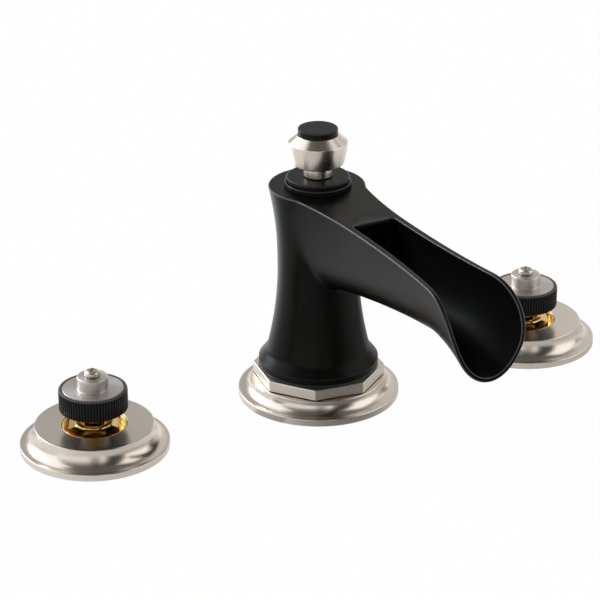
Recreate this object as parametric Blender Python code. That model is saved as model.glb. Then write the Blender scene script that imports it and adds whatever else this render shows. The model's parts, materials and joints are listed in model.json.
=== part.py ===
"""Widespread bathroom faucet: an open-channel spout on a turned column, and two valve ends.

Metres, +Z up. The origin is the centre of the spout on top of the counter, the spout points
to -Y, and the valves stand at -X (hot) and +X (cold). The counter itself isn't modelled: it
fills the space between the gaskets above z = 0 and the washers below it.
"""

import math

import bmesh
import bpy
import numpy as np
from mathutils import Matrix, Vector

MM = 0.001

# What the whole set shares
VALVE_SPREAD = 203.2 * MM
DECK_THICKNESS = 22.0 * MM
SEAT_GAP = 0.3 * MM
RUN_GAP = 0.3 * MM
OVERRUN = 3.0 * MM
MERGE_DISTANCE = 0.002 * MM
FULL_TURN = math.tau
SMOOTH_ANGLE = math.radians(32)

# How finely round pieces are divided
VISIBLE_STEPS = 24
TRIM_STEPS = 20
HIDDEN_STEPS = 12
SMALL_STEPS = 10
ROUND_STEPS = 3
WINDOW_STEPS = 4

# Flanges, from the counter up
FLANGE_LIFT = 0.4 * MM
FLANGE_LIP = 1.0 * MM
FLANGE_WALL = 1.8 * MM
FLANGE_RIM = 1.0 * MM
FLANGE_EDGE = 0.4 * MM
BEAD_WIDTH = 1.2 * MM
GASKET_THICKNESS = 1.2 * MM
GASKET_WIDTH = 6.0 * MM

VALVE_FLANGE_MARGIN = 17.3 * MM
VALVE_FLANGE_BAND = 3.25 * MM
VALVE_FLANGE_HEIGHT = 10.6 * MM
VALVE_PLATE_INSET = 6.1 * MM
VALVE_PLATE_CLEARANCE = 0.6 * MM
VALVE_NECK_WALL = 1.8 * MM
VALVE_NECK_DROP = 2.6 * MM

SPOUT_FLANGE_RADIUS = 33.2 * MM
SPOUT_FLANGE_BAND = 3.4 * MM
SPOUT_FLANGE_HEIGHT = 8.75 * MM
SPOUT_PLATE_RADIUS = 27.6 * MM

# Eight-sided ring under the column
OCTAGON_SIDES = 8
OCTAGON_ACROSS_FLATS = 50.2 * MM
OCTAGON_THICKNESS = 4.4 * MM
OCTAGON_EDGE = 0.35 * MM
OCTAGON_TURN = math.radians(-9)

# Column of the spout, a turned bell; a drop is measured down from the top of the spout
COLUMN_FOOT_RADIUS = 24.6 * MM
COLUMN_FOOT_HEIGHT = 3.2 * MM
COLUMN_SHOULDER_RADIUS = 21.1 * MM
COLUMN_SHOULDER_HEIGHT = 21.2 * MM
COLUMN_WAIST_RADIUS = 16.5 * MM
COLUMN_WAIST_DROP = 35.3 * MM
COLUMN_TOP_RADIUS = 19.6 * MM
COLUMN_FLARE_DROP = 3.3 * MM
SHOULDER_POWER = 1.2
LOWER_FLARE_POWER = 1.9
UPPER_FLARE_POWER = 1.5
BELL_STEPS = 6

# Arm of the spout, seen from above and from the side
SPOUT_HEIGHT = 92.3 * MM
SPOUT_REACH = 129.9 * MM
ARM_ROOT = 13.1 * MM
ARM_ROOT_HALF_WIDTH = 15.4 * MM
ARM_NECK = 55.0 * MM
ARM_NECK_HALF_WIDTH = 11.8 * MM
MOUTH_HALF_WIDTH = 18.0 * MM
ROOT_FLARE_POWER = 2.2
MOUTH_FLARE_POWER = 2.4
SECTION_POWER = 2.05
LIP_DROP = 32.2 * MM
CREST_INSET = 31.2 * MM
CREST_DROP = 24.55 * MM
ROOT_UNDERSIDE_DROP = 36.7 * MM
ROOT_UNDERSIDE_REACH = 24.0 * MM
BELLY_BULGE_SHARE = 0.36
FILLET_RADIUS = 7.0 * MM
BROW_RADIUS = 21.6 * MM
BROW_STEPS = 6
FACE_LEAN = 0.45 * MM
SECTION_STEPS = 16
FILLET_SECTIONS = 4
BELLY_SECTIONS = 7
MOUTH_SECTIONS = 6

# Open channel and the way that the water takes to it
CHANNEL_START = 43.6 * MM
CHANNEL_END_ROUND = 1.6 * MM
CHANNEL_END_SHARES = (0, 0.3, 1)
CHANNEL_END_WIDTH_SHARES = (0.84, 0.94, 1)
CHANNEL_WALL = 2.9 * MM
MOUTH_WALL = 1.8 * MM
CHANNEL_DEPTH = 18.8 * MM
CREST_DEPTH = 21.2 * MM
LIP_WALL = 1.9 * MM
TUNNEL_HALF_WIDTH = 6.4 * MM
TUNNEL_DROP = 7.3 * MM
TUNNEL_HEIGHT = 9.0 * MM
TUNNEL_POWER = 2.3
TUNNEL_STEPS = 12
CHAMBER_RADIUS = 8.5 * MM
CHAMBER_DROP = 8.8 * MM

# Shank that carries the spout
SHANK_RADIUS = 13.0 * MM
SHANK_BORE = 8.5 * MM
SHANK_BOTTOM = -50.0 * MM
SOCKET_TOP = 31.0 * MM

# Collar on top of the column
COLLAR_RADIUS = 13.45 * MM
COLLAR_STEP_RADIUS = 12.7 * MM
COLLAR_GROOVE_RADIUS = 12.1 * MM
COLLAR_STEP = 2.15 * MM
COLLAR_GROOVE = 0.45 * MM
COLLAR_HEIGHT = 4.2 * MM
COLLAR_EDGE = 0.35 * MM
SPIGOT_RADIUS = 6.2 * MM
SPIGOT_LENGTH = 4.6 * MM

# Lift rod, its guide tube and its knob
ROD_RADIUS = 2.38 * MM
ROD_BOTTOM = -112.0 * MM
ROD_GROOVE = 0.4 * MM
ROD_GROOVE_HEIGHT = 2.0 * MM
ROD_GROOVE_UP = 8.0 * MM
TUBE_RADIUS = 4.0 * MM
TUBE_WALL = 1.2 * MM
TUBE_BOTTOM = -74.0 * MM
KNOB_NECK_RADIUS = 5.65 * MM
KNOB_NECK_LENGTH = 5.0 * MM
KNOB_FOOT_RADIUS = 9.5 * MM
KNOB_FOOT_ROUND = 1.1 * MM
KNOB_RADIUS = 11.5 * MM
KNOB_WAIST_HEIGHT = 9.3 * MM
KNOB_SIDE_BULGE = 0.35 * MM
KNOB_TOP_RADIUS = 8.1 * MM
KNOB_SHOULDER_HEIGHT = 3.0 * MM
KNOB_EDGE = 0.4 * MM
KNOB_ROD_DEPTH = 7.0 * MM
CAP_RADIUS = 7.85 * MM
CAP_THICKNESS = 2.4 * MM
CAP_EDGE = 0.5 * MM
CAP_PIN_RADIUS = 2.6 * MM
CAP_PIN_LENGTH = 3.0 * MM

# O-rings
SEAL_SECTION = 1.4 * MM
SEAL_SIDES = 6

# Clamp under the counter
WASHER_WIDTH = 7.5 * MM
RUBBER_WASHER_THICKNESS = 3.0 * MM
STEEL_WASHER_THICKNESS = 1.5 * MM
NUT_SIDES = 6
NUT_THICKNESS = 8.0 * MM
NUT_ACROSS_FLATS_MARGIN = 5.5 * MM
UPPER_NUT_THICKNESS = 5.0 * MM

# Tee under the spout
TEE_RADIUS = 17.0 * MM
TEE_SOCKET_DEPTH = 8.0 * MM
TEE_BOTTOM = -71.0 * MM
TEE_FLOOR = 5.0 * MM
PORT_RADIUS = 8.0 * MM
PORT_BORE = 5.0 * MM
TEE_PORT_REACH = 34.0 * MM
TEE_PORT_HEIGHT = -60.0 * MM

# Valve body; each wall lies between the outside and the bore that it names
BODY_RADIUS = 12.6 * MM
BODY_TOP = 6.7 * MM
INLET_STEP = 2.2 * MM
INLET_WALL = 4.4 * MM
INLET_LENGTH = 14.0 * MM
BONNET_BORE_WALL = 2.4 * MM
BONNET_BORE_DEPTH = 9.0 * MM
CARTRIDGE_BORE_WALL = 3.6 * MM
CHAMBER_WALL = 2.0 * MM
SEAT_LEDGE = 5.0 * MM
SEAT_LEDGE_WIDTH = 4.4 * MM
VALVE_PORT_REACH = 27.0 * MM
VALVE_PORT_HEIGHT = -46.0 * MM

# Cartridge
SLEEVE_WALL = 1.3 * MM
WATERWAY_HEIGHT = 8.0 * MM
WATERWAY_ROOF = 3.0 * MM
STEM_SEAL_DEPTH = 3.0 * MM
SEAT_SEAL_THICKNESS = 2.4 * MM
DISC_THICKNESS = 3.0 * MM
DISC_RIM = 1.5 * MM
DISC_WINDOW_HUB = 1.7 * MM
WINDOW_ANGLE = math.radians(82)
DISC_SLOT_DEPTH = 1.2 * MM
DISC_SLOT_WIDTH = 3.0 * MM
STEM_RADIUS = 3.9 * MM
SPLINE_RADIUS = 3.2 * MM
SPLINE_BOTTOM = 18.5 * MM
STEM_TOP = 29.4 * MM
TAP_RADIUS = 1.9 * MM
TAP_DEPTH = 12.0 * MM

# Brass bonnet nut, eight-sided, with a turned flare above its flats
BONNET_SIDES = 8
BONNET_INSET = 1.0 * MM
BONNET_FLAT_HEIGHT = 2.4 * MM
BONNET_CHAMFER = 0.9 * MM
BONNET_FLARE_INSET = 1.0 * MM
BONNET_NECK_WALL = 2.05 * MM
BONNET_TOP = 12.3 * MM
BONNET_BORE_CLEARANCE = 1.5 * MM
BONNET_TURN = math.radians(15)

# Hub that takes a handle, and its fluted ring
RING_RADIUS = 13.7 * MM
RING_BOTTOM = 17.2 * MM
RING_TOP = 26.5 * MM
RING_EDGE = 0.9 * MM
RING_BORE = 9.0 * MM
FLUTES = 72
FLUTE_DEPTH = 0.32 * MM
HUB_RADIUS = 12.05 * MM
HUB_TOP = 26.4 * MM
HUB_DISC_THICKNESS = 2.6 * MM
HUB_BARREL_RADIUS = 5.8 * MM
HUB_BOSS_RADIUS = 6.2 * MM
HUB_BOSS_HEIGHT = 5.1 * MM
HUB_EDGE = 0.35 * MM
HUB_ROOF = 1.6 * MM
SCREW_HEAD_RADIUS = 3.2 * MM
SCREW_HEAD_HEIGHT = 2.5 * MM
SCREW_HEAD_SIDE = 1.3 * MM
SCREW_RADIUS = 1.6 * MM
SCREW_LENGTH = 9.0 * MM
CROSS_WIDTH = 0.8 * MM
CROSS_LENGTH = 3.8 * MM
CROSS_DEPTH = 1.2 * MM

# Looks: colour, metallic, roughness
MATTE_BLACK = ((0.018, 0.018, 0.018), 0.0, 0.38)
BRUSHED_NICKEL = ((0.62, 0.57, 0.52), 1.0, 0.28)
BRASS = ((0.72, 0.50, 0.16), 1.0, 0.2)
STEEL = ((0.55, 0.55, 0.56), 1.0, 0.35)
RUBBER = ((0.02, 0.02, 0.02), 0.0, 0.8)
CERAMIC = ((0.85, 0.83, 0.78), 0.0, 0.3)
CONSTRUCTION = ((0.3, 0.3, 0.9), 0.0, 0.5)

ORIGIN = Vector((0, 0, 0))


# Building helpers

def clear_scene():
    for item in list(bpy.data.objects):
        bpy.data.objects.remove(item)


def new_material(name, look):
    colour, metallic, roughness = look
    material = bpy.data.materials.new(name)
    material.use_nodes = True
    shader = material.node_tree.nodes["Principled BSDF"]
    shader.inputs["Base Color"].default_value = (*colour, 1)
    shader.inputs["Metallic"].default_value = metallic
    shader.inputs["Roughness"].default_value = roughness
    return material


def finished(name, look, bm, place=ORIGIN):
    """Turns a bmesh into a named, smooth-shaded object with its own material."""
    bmesh.ops.remove_doubles(bm, verts=bm.verts, dist=MERGE_DISTANCE)
    bmesh.ops.recalc_face_normals(bm, faces=bm.faces)
    mesh = bpy.data.meshes.new(name)
    bm.to_mesh(mesh)
    bm.free()
    mesh.shade_smooth()
    mesh.set_sharp_from_angle(angle=SMOOTH_ANGLE)
    mesh.materials.append(new_material(name, look))
    piece = bpy.data.objects.new(name, mesh)
    piece.location = place
    bpy.context.collection.objects.link(piece)
    return piece


def turned(name, look, profile, steps, place=ORIGIN):
    """A solid of revolution about Z from a closed outline of (radius, height) points."""
    bm = bmesh.new()
    verts = [bm.verts.new((radius, 0, height)) for radius, height in profile]
    pairs = zip(verts, verts[1:] + verts[:1])
    edges = [bm.edges.new(pair) for pair in pairs if pair[0].co.x > 0 or pair[1].co.x > 0]
    bmesh.ops.spin(bm, geom=verts + edges, cent=ORIGIN, axis=(0, 0, 1), angle=FULL_TURN,
                   steps=steps, use_merge=True)
    return finished(name, look, bm, place)


def tube_profile(outer, inner, bottom, top):
    return [(inner, bottom), (outer, bottom), (outer, top), (inner, top)]


def rod_profile(radius, bottom, top):
    return [(0, bottom), (radius, bottom), (radius, top), (0, top)]


def lofted(name, look, rings, place=ORIGIN):
    """A closed skin through rings of equally many points, with a face over each end ring."""
    bm = bmesh.new()
    loops = [[bm.verts.new(point) for point in ring] for ring in rings]
    for lower, upper in zip(loops, loops[1:]):
        for index in range(len(lower)):
            following = (index + 1) % len(lower)
            bm.faces.new((lower[index], lower[following], upper[following], upper[index]))
    bm.faces.new(loops[0][::-1])
    bm.faces.new(loops[-1])
    return finished(name, look, bm, place)


def prism(name, look, sides, across_flats, bottom, top, turn=0.0, place=ORIGIN):
    """An upright prism whose first flat faces -Y before it is turned about Z."""
    radius = circumscribed(across_flats / 2, sides)
    start = -math.pi / 2 - math.pi / sides + turn
    corners = [start + FULL_TURN * index / sides for index in range(sides)]
    rings = []
    for height in (bottom, top):
        rings.append([(radius * math.cos(a), radius * math.sin(a), height) for a in corners])
    return lofted(name, look, rings, place)


def box(name, look, size, centre, place=ORIGIN):
    bm = bmesh.new()
    matrix = Matrix.Translation(centre) @ Matrix.Diagonal((*size, 1))
    bmesh.ops.create_cube(bm, size=1, matrix=matrix)
    return finished(name, look, bm, place)


def laid_along_x(piece, steps):
    """Turns a piece that was made upright so that its top end points to +X, a flat uppermost."""
    half_step = Matrix.Rotation(math.pi / steps, 4, "Z")
    piece.data.transform(Matrix.Rotation(math.pi / 2, 4, "Y") @ half_step)
    return piece


def combine(piece, tool, operation):
    """Adds a Boolean of the tool to the piece and leaves the tool as a wire guide."""
    tool.hide_render = True
    tool.display_type = "WIRE"
    modifier = piece.modifiers.new(tool.name, "BOOLEAN")
    modifier.operation = operation
    modifier.solver = "EXACT"
    modifier.object = tool


def arc(centre, radius, start, end, steps):
    """Points of a circular arc in (radius, height), from one angle to another."""
    angles = np.linspace(start, end, steps + 1)
    return [(centre[0] + radius * math.cos(a), centre[1] + radius * math.sin(a)) for a in angles]


def ellipse_arc(centre, half_width, half_height, start, end, steps):
    """Points of an elliptical arc in (radius, height), from one angle to another."""
    angles = np.linspace(start, end, steps + 1)
    return [(centre[0] + half_width * math.cos(a), centre[1] + half_height * math.sin(a))
            for a in angles]


def superellipse(angle, power):
    """Point at an angle on the unit superellipse: |x| ** power + |y| ** power = 1."""
    x, y = math.cos(angle), math.sin(angle)
    return math.copysign(abs(x) ** (2 / power), x), math.copysign(abs(y) ** (2 / power), y)


def circumscribed(radius, steps):
    """Radius of a faceted hole whose flats leave a true circle of the given radius clear."""
    return radius / math.cos(math.pi / steps)


def between(start, end, share):
    return start + (end - start) * share


# Flanges, gaskets and the clamp under the counter

def flange_profile(radius, band, height, plate, hole, neck):
    """Skirt, rounded band, concave cove and flat plate, hollow from below.

    neck is the outline under the plate, from the plate's underside back to the hole.
    """
    cove_centre = (radius - BEAD_WIDTH, height - FLANGE_RIM)
    cove = ellipse_arc(cove_centre, radius - BEAD_WIDTH - plate, height - FLANGE_RIM - band,
                       math.pi, 1.5 * math.pi, ROUND_STEPS)
    underside = GASKET_THICKNESS + SEAT_GAP
    foot = radius - FLANGE_LIP - SEAT_GAP - GASKET_WIDTH
    return [
        (hole, height),
        (plate - FLANGE_EDGE, height),
        (plate, height - FLANGE_EDGE),
        *cove,
        (radius, band - BEAD_WIDTH / 2),
        (radius, FLANGE_LIFT),
        (radius - FLANGE_LIP, FLANGE_LIFT),
        (radius - FLANGE_LIP, underside),
        (foot, underside),
        (foot, band - FLANGE_EDGE),
        (plate - FLANGE_WALL - FLANGE_EDGE, height - FLANGE_WALL),
        *neck,
    ]


def gasket(name, flange_radius, place):
    outer = flange_radius - FLANGE_LIP - SEAT_GAP
    profile = tube_profile(outer, outer - GASKET_WIDTH, 0, GASKET_THICKNESS)
    return turned(name, RUBBER, profile, TRIM_STEPS, place)


def seal_ring(name, inner, height, place=ORIGIN):
    """An O-ring whose hole has the inner radius, centred at the height."""
    centre = (inner + SEAL_SECTION / 2, height)
    section = arc(centre, SEAL_SECTION / 2, 0, FULL_TURN, SEAL_SIDES)[:-1]
    return turned(name, RUBBER, section, SMALL_STEPS, place)


def under_counter_clamp(prefix, shank_radius, place):
    """Rubber washer, steel washer and six-sided nut, one under the other on a shank."""
    inner = shank_radius + SEAT_GAP
    outer = inner + WASHER_WIDTH
    top = -DECK_THICKNESS
    bottom = top - RUBBER_WASHER_THICKNESS
    turned(prefix + "_rubber_washer", RUBBER, tube_profile(outer, inner, bottom, top),
           HIDDEN_STEPS, place)
    top = bottom - SEAT_GAP
    bottom = top - STEEL_WASHER_THICKNESS
    turned(prefix + "_steel_washer", STEEL, tube_profile(outer, inner, bottom, top),
           HIDDEN_STEPS, place)
    top = bottom - SEAT_GAP
    locknut(prefix + "_deck_nut", inner, top - NUT_THICKNESS, top, place)


def locknut(name, bore, bottom, top, place):
    across_flats = 2 * (bore + NUT_ACROSS_FLATS_MARGIN)
    nut = prism(name, BRASS, NUT_SIDES, across_flats, bottom, top, 0.0, place)
    hole = turned(name + "_hole", CONSTRUCTION, rod_profile(bore, bottom - OVERRUN, top + OVERRUN),
                  HIDDEN_STEPS, place)
    combine(nut, hole, "DIFFERENCE")


# Spout

def column_profile():
    """Foot band, round shoulder, then a bell that narrows to a waist and flares to its top."""
    base = column_base()
    foot_top = base + COLUMN_FOOT_HEIGHT
    waist = SPOUT_HEIGHT - COLUMN_WAIST_DROP
    points = [(0, base), (COLUMN_FOOT_RADIUS, base)]
    for angle in np.linspace(0, math.pi / 2, ROUND_STEPS, endpoint=False):
        out, up = superellipse(angle, SHOULDER_POWER)
        points.append((COLUMN_SHOULDER_RADIUS + (COLUMN_FOOT_RADIUS - COLUMN_SHOULDER_RADIUS) * out,
                       foot_top + (COLUMN_SHOULDER_HEIGHT - foot_top) * up))
    for share in np.linspace(1, 0, BELL_STEPS, endpoint=False):
        radius = between(COLUMN_WAIST_RADIUS, COLUMN_SHOULDER_RADIUS, share ** LOWER_FLARE_POWER)
        points.append((radius, between(waist, COLUMN_SHOULDER_HEIGHT, share)))
    for share in np.linspace(0, 1, BELL_STEPS + 1):
        radius = between(COLUMN_WAIST_RADIUS, COLUMN_TOP_RADIUS, share ** UPPER_FLARE_POWER)
        points.append((radius, between(waist, SPOUT_HEIGHT - COLUMN_FLARE_DROP, share)))
    top = SPOUT_HEIGHT + OVERRUN
    return [*points, (COLUMN_TOP_RADIUS, top), (0, top)]


def octagon_bottom():
    return SPOUT_FLANGE_HEIGHT + SEAT_GAP


def column_base():
    return octagon_bottom() + OCTAGON_THICKNESS + SEAT_GAP


def arm_half_width(reach):
    """Half the arm's width at a reach: narrowest at the neck, wider to the root and mouth."""
    if reach < ARM_NECK:
        share = (ARM_NECK - reach) / (ARM_NECK - ARM_ROOT)
        return between(ARM_NECK_HALF_WIDTH, ARM_ROOT_HALF_WIDTH, share ** ROOT_FLARE_POWER)
    share = (reach - ARM_NECK) / (SPOUT_REACH - ARM_NECK)
    return between(ARM_NECK_HALF_WIDTH, MOUTH_HALF_WIDTH, share ** MOUTH_FLARE_POWER)


def crest_reach():
    return SPOUT_REACH - CREST_INSET


def lip_height():
    return SPOUT_HEIGHT - LIP_DROP


def fall_from_crest(reach, total):
    """Drop at a reach on a line that is level at the crest and has bent down by the total
    at the lip."""
    share = max(0.0, (reach - crest_reach()) / CREST_INSET)
    return total * share ** 2


def underside_height(reach):
    """Underside of the arm: a fillet off the column, a rising belly, then down to the lip."""
    share = min(1.0, (reach - ROOT_UNDERSIDE_REACH) / (crest_reach() - ROOT_UNDERSIDE_REACH))
    root, crest = SPOUT_HEIGHT - ROOT_UNDERSIDE_DROP, SPOUT_HEIGHT - CREST_DROP
    belly = between(root, crest, share * (1 + BELLY_BULGE_SHARE * (1 - share)))
    into_fillet = COLUMN_WAIST_RADIUS + FILLET_RADIUS - reach
    if into_fillet <= 0:
        return belly - fall_from_crest(reach, crest - lip_height())
    depth = min(into_fillet, FILLET_RADIUS)
    return belly - FILLET_RADIUS + math.sqrt(FILLET_RADIUS ** 2 - depth ** 2)


def channel_half_width(reach):
    share = (reach - CHANNEL_START) / (SPOUT_REACH - CHANNEL_START)
    return arm_half_width(reach) - between(CHANNEL_WALL, MOUTH_WALL, share)


def channel_floor(reach):
    """Nearly level floor that bends down to the lip."""
    share = min(1.0, (reach - CHANNEL_START) / (crest_reach() - CHANNEL_START))
    depth = between(CHANNEL_DEPTH, CREST_DEPTH, share)
    return SPOUT_HEIGHT - depth - fall_from_crest(reach, LIP_DROP - LIP_WALL - CREST_DEPTH)


def trough_ring(reach, half_width, floor):
    """Upright section at a reach: half a superellipse below, straight sides past the top."""
    depth = SPOUT_HEIGHT - floor
    ring = [(-half_width, -reach, SPOUT_HEIGHT + OVERRUN)]
    for angle in np.linspace(0, math.pi, SECTION_STEPS + 1):
        across, down = superellipse(angle, SECTION_POWER)
        ring.append((-half_width * across, -reach, SPOUT_HEIGHT - depth * down))
    ring.append((half_width, -reach, SPOUT_HEIGHT + OVERRUN))
    return ring


def arm_reaches():
    """Places of the sections along the arm, close together in the fillet and at the mouth."""
    fillet_end = COLUMN_WAIST_RADIUS + FILLET_RADIUS
    fillet = np.linspace(COLUMN_WAIST_RADIUS, fillet_end, FILLET_SECTIONS)
    belly = np.linspace(fillet_end, crest_reach(), BELLY_SECTIONS)[1:]
    mouth = np.linspace(crest_reach(), SPOUT_REACH + OVERRUN, MOUTH_SECTIONS)[1:]
    return [CHAMBER_RADIUS, *fillet, *belly, *mouth]


def side_outline():
    """Outline in (reach, height) of all that the spout may fill, seen from the side.

    The flat top bends over the brow into the leaning face of the mouth.
    """
    face_top = SPOUT_REACH - FACE_LEAN
    brow = arc((face_top - BROW_RADIUS, SPOUT_HEIGHT - BROW_RADIUS), BROW_RADIUS,
               math.pi / 2, 0, BROW_STEPS)
    slope = FACE_LEAN / (LIP_DROP - BROW_RADIUS)
    below = lip_height() - OVERRUN
    rear = -COLUMN_FOOT_RADIUS - OVERRUN
    floor = column_base() - OVERRUN
    return [(rear, SPOUT_HEIGHT), *brow, (SPOUT_REACH + OVERRUN * slope, below),
            (SPOUT_REACH + OVERRUN * slope, floor), (rear, floor)]


def channel_rings():
    """Sections of the open channel, the first ones drawn in to round its closed end."""
    rings = []
    for share, width_share in zip(CHANNEL_END_SHARES, CHANNEL_END_WIDTH_SHARES):
        reach = CHANNEL_START + CHANNEL_END_ROUND * share
        rings.append(trough_ring(reach, channel_half_width(reach) * width_share, channel_floor(reach)))
    start = CHANNEL_START + CHANNEL_END_ROUND
    belly = np.linspace(start, crest_reach(), BELLY_SECTIONS)[1:]
    mouth = np.linspace(crest_reach(), SPOUT_REACH + OVERRUN, MOUTH_SECTIONS)[1:]
    for reach in [*belly, *mouth]:
        rings.append(trough_ring(reach, channel_half_width(reach), channel_floor(reach)))
    return rings


def tunnel_rings():
    """Two equal rounded sections, from inside the chamber to inside the channel."""
    rings = []
    roof = SPOUT_HEIGHT - TUNNEL_DROP
    middle = roof - TUNNEL_HEIGHT / 2
    for reach in (0, CHANNEL_START + CHANNEL_END_ROUND):
        ring = []
        for angle in np.linspace(0, FULL_TURN, TUNNEL_STEPS, endpoint=False):
            across, upward = superellipse(angle, TUNNEL_POWER)
            ring.append((TUNNEL_HALF_WIDTH * across, -reach, between(middle, roof, upward)))
        rings.append(ring)
    return rings


def spigot_bottom():
    return SPOUT_HEIGHT + SEAT_GAP - SPIGOT_LENGTH


def spout_bore_profile():
    """Socket for the shank, water chamber, seat of the tube's seal and the spigot's hole."""
    seal_seat = spigot_bottom() - SEAT_GAP - SEAL_SECTION - SEAT_GAP
    chamber_top = SPOUT_HEIGHT - CHAMBER_DROP
    return [
        (0, column_base() - OVERRUN),
        (SHANK_RADIUS + SEAT_GAP, column_base() - OVERRUN),
        (SHANK_RADIUS + SEAT_GAP, SOCKET_TOP),
        (CHAMBER_RADIUS, SOCKET_TOP),
        (CHAMBER_RADIUS, chamber_top),
        (TUBE_RADIUS + SEAT_GAP, chamber_top),
        (TUBE_RADIUS + SEAT_GAP, seal_seat),
        (SPIGOT_RADIUS + SEAT_GAP, seal_seat),
        (SPIGOT_RADIUS + SEAT_GAP, SPOUT_HEIGHT + OVERRUN),
        (0, SPOUT_HEIGHT + OVERRUN),
    ]


def build_spout_body():
    """Turned column and lofted arm, joined, trimmed from the side and hollowed."""
    spout = turned("spout_body", MATTE_BLACK, column_profile(), VISIBLE_STEPS)
    rings = [trough_ring(reach, arm_half_width(reach), underside_height(reach))
             for reach in arm_reaches()]
    combine(spout, lofted("arm_form", CONSTRUCTION, rings), "UNION")
    trim_rings = []
    for side in (-1, 1):
        across = side * (COLUMN_FOOT_RADIUS + OVERRUN)
        trim_rings.append([(across, -reach, height) for reach, height in side_outline()])
    combine(spout, lofted("side_trim", CONSTRUCTION, trim_rings), "INTERSECT")
    combine(spout, lofted("channel_cut", CONSTRUCTION, channel_rings()), "DIFFERENCE")
    combine(spout, lofted("tunnel_cut", CONSTRUCTION, tunnel_rings()), "DIFFERENCE")
    bore = turned("bore_cut", CONSTRUCTION, spout_bore_profile(), HIDDEN_STEPS)
    combine(spout, bore, "DIFFERENCE")


def build_spout_base():
    """Flange, gasket and the eight-sided ring between the flange and the column."""
    hole = SHANK_RADIUS + SEAT_GAP
    neck = [(hole, SPOUT_FLANGE_HEIGHT - FLANGE_WALL)]
    profile = flange_profile(SPOUT_FLANGE_RADIUS, SPOUT_FLANGE_BAND, SPOUT_FLANGE_HEIGHT,
                             SPOUT_PLATE_RADIUS, hole, neck)
    turned("spout_flange", BRUSHED_NICKEL, profile, VISIBLE_STEPS)
    gasket("spout_gasket", SPOUT_FLANGE_RADIUS, ORIGIN)
    bottom = octagon_bottom()
    top = bottom + OCTAGON_THICKNESS
    ring = prism("octagon_ring", BRUSHED_NICKEL, OCTAGON_SIDES, OCTAGON_ACROSS_FLATS, bottom, top,
                 OCTAGON_TURN)
    flat = OCTAGON_ACROSS_FLATS / 2
    corner = circumscribed(flat, OCTAGON_SIDES)
    edge = [(0, bottom), (corner + OVERRUN, bottom), (corner + OVERRUN, top - OCTAGON_EDGE),
            (flat, top), (0, top)]
    combine(ring, turned("octagon_edge", CONSTRUCTION, edge, TRIM_STEPS), "INTERSECT")
    bore = rod_profile(SHANK_RADIUS + SEAT_GAP, bottom - OVERRUN, top + OVERRUN)
    combine(ring, turned("octagon_bore", CONSTRUCTION, bore, HIDDEN_STEPS), "DIFFERENCE")


def build_shank():
    """Threaded tube from under the counter up into the spout's socket."""
    profile = tube_profile(SHANK_RADIUS, SHANK_BORE, SHANK_BOTTOM, SOCKET_TOP - SEAT_GAP)
    turned("spout_shank", BRASS, profile, HIDDEN_STEPS)
    under_counter_clamp("spout", SHANK_RADIUS, ORIGIN)


def build_collar():
    """Two-step collar with a spigot that holds the guide tube in the top of the column."""
    bottom = SPOUT_HEIGHT + SEAT_GAP
    step = SPOUT_HEIGHT + COLLAR_STEP
    top = SPOUT_HEIGHT + COLLAR_HEIGHT
    tube_socket = TUBE_RADIUS + SEAT_GAP
    bore = ROD_RADIUS + RUN_GAP
    profile = [
        (bore, top),
        (COLLAR_STEP_RADIUS - COLLAR_EDGE, top),
        (COLLAR_STEP_RADIUS, top - COLLAR_EDGE),
        (COLLAR_STEP_RADIUS, step + COLLAR_GROOVE),
        (COLLAR_GROOVE_RADIUS, step + COLLAR_GROOVE),
        (COLLAR_GROOVE_RADIUS, step),
        (COLLAR_RADIUS - COLLAR_EDGE, step),
        (COLLAR_RADIUS, step - COLLAR_EDGE),
        (COLLAR_RADIUS, bottom),
        (SPIGOT_RADIUS, bottom),
        (SPIGOT_RADIUS, spigot_bottom()),
        (tube_socket, spigot_bottom()),
        (tube_socket, tube_top() + SEAT_GAP),
        (bore, tube_top() + SEAT_GAP),
    ]
    turned("spout_collar", MATTE_BLACK, profile, TRIM_STEPS)


def tube_top():
    return SPOUT_HEIGHT - SEAT_GAP


def build_guide_tube():
    """Tube that keeps the water off the lift rod, with a seal near each end."""
    profile = tube_profile(TUBE_RADIUS, TUBE_RADIUS - TUBE_WALL, TUBE_BOTTOM, tube_top())
    turned("rod_guide_tube", BRASS, profile, HIDDEN_STEPS)
    seal_ring("upper_tube_seal", TUBE_RADIUS + SEAT_GAP, spigot_bottom() - SEAT_GAP - SEAL_SECTION / 2)
    seal_ring("lower_tube_seal", TUBE_RADIUS + SEAT_GAP, lower_seal_height())


def lower_seal_height():
    return TEE_BOTTOM + TEE_FLOOR / 2


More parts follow.
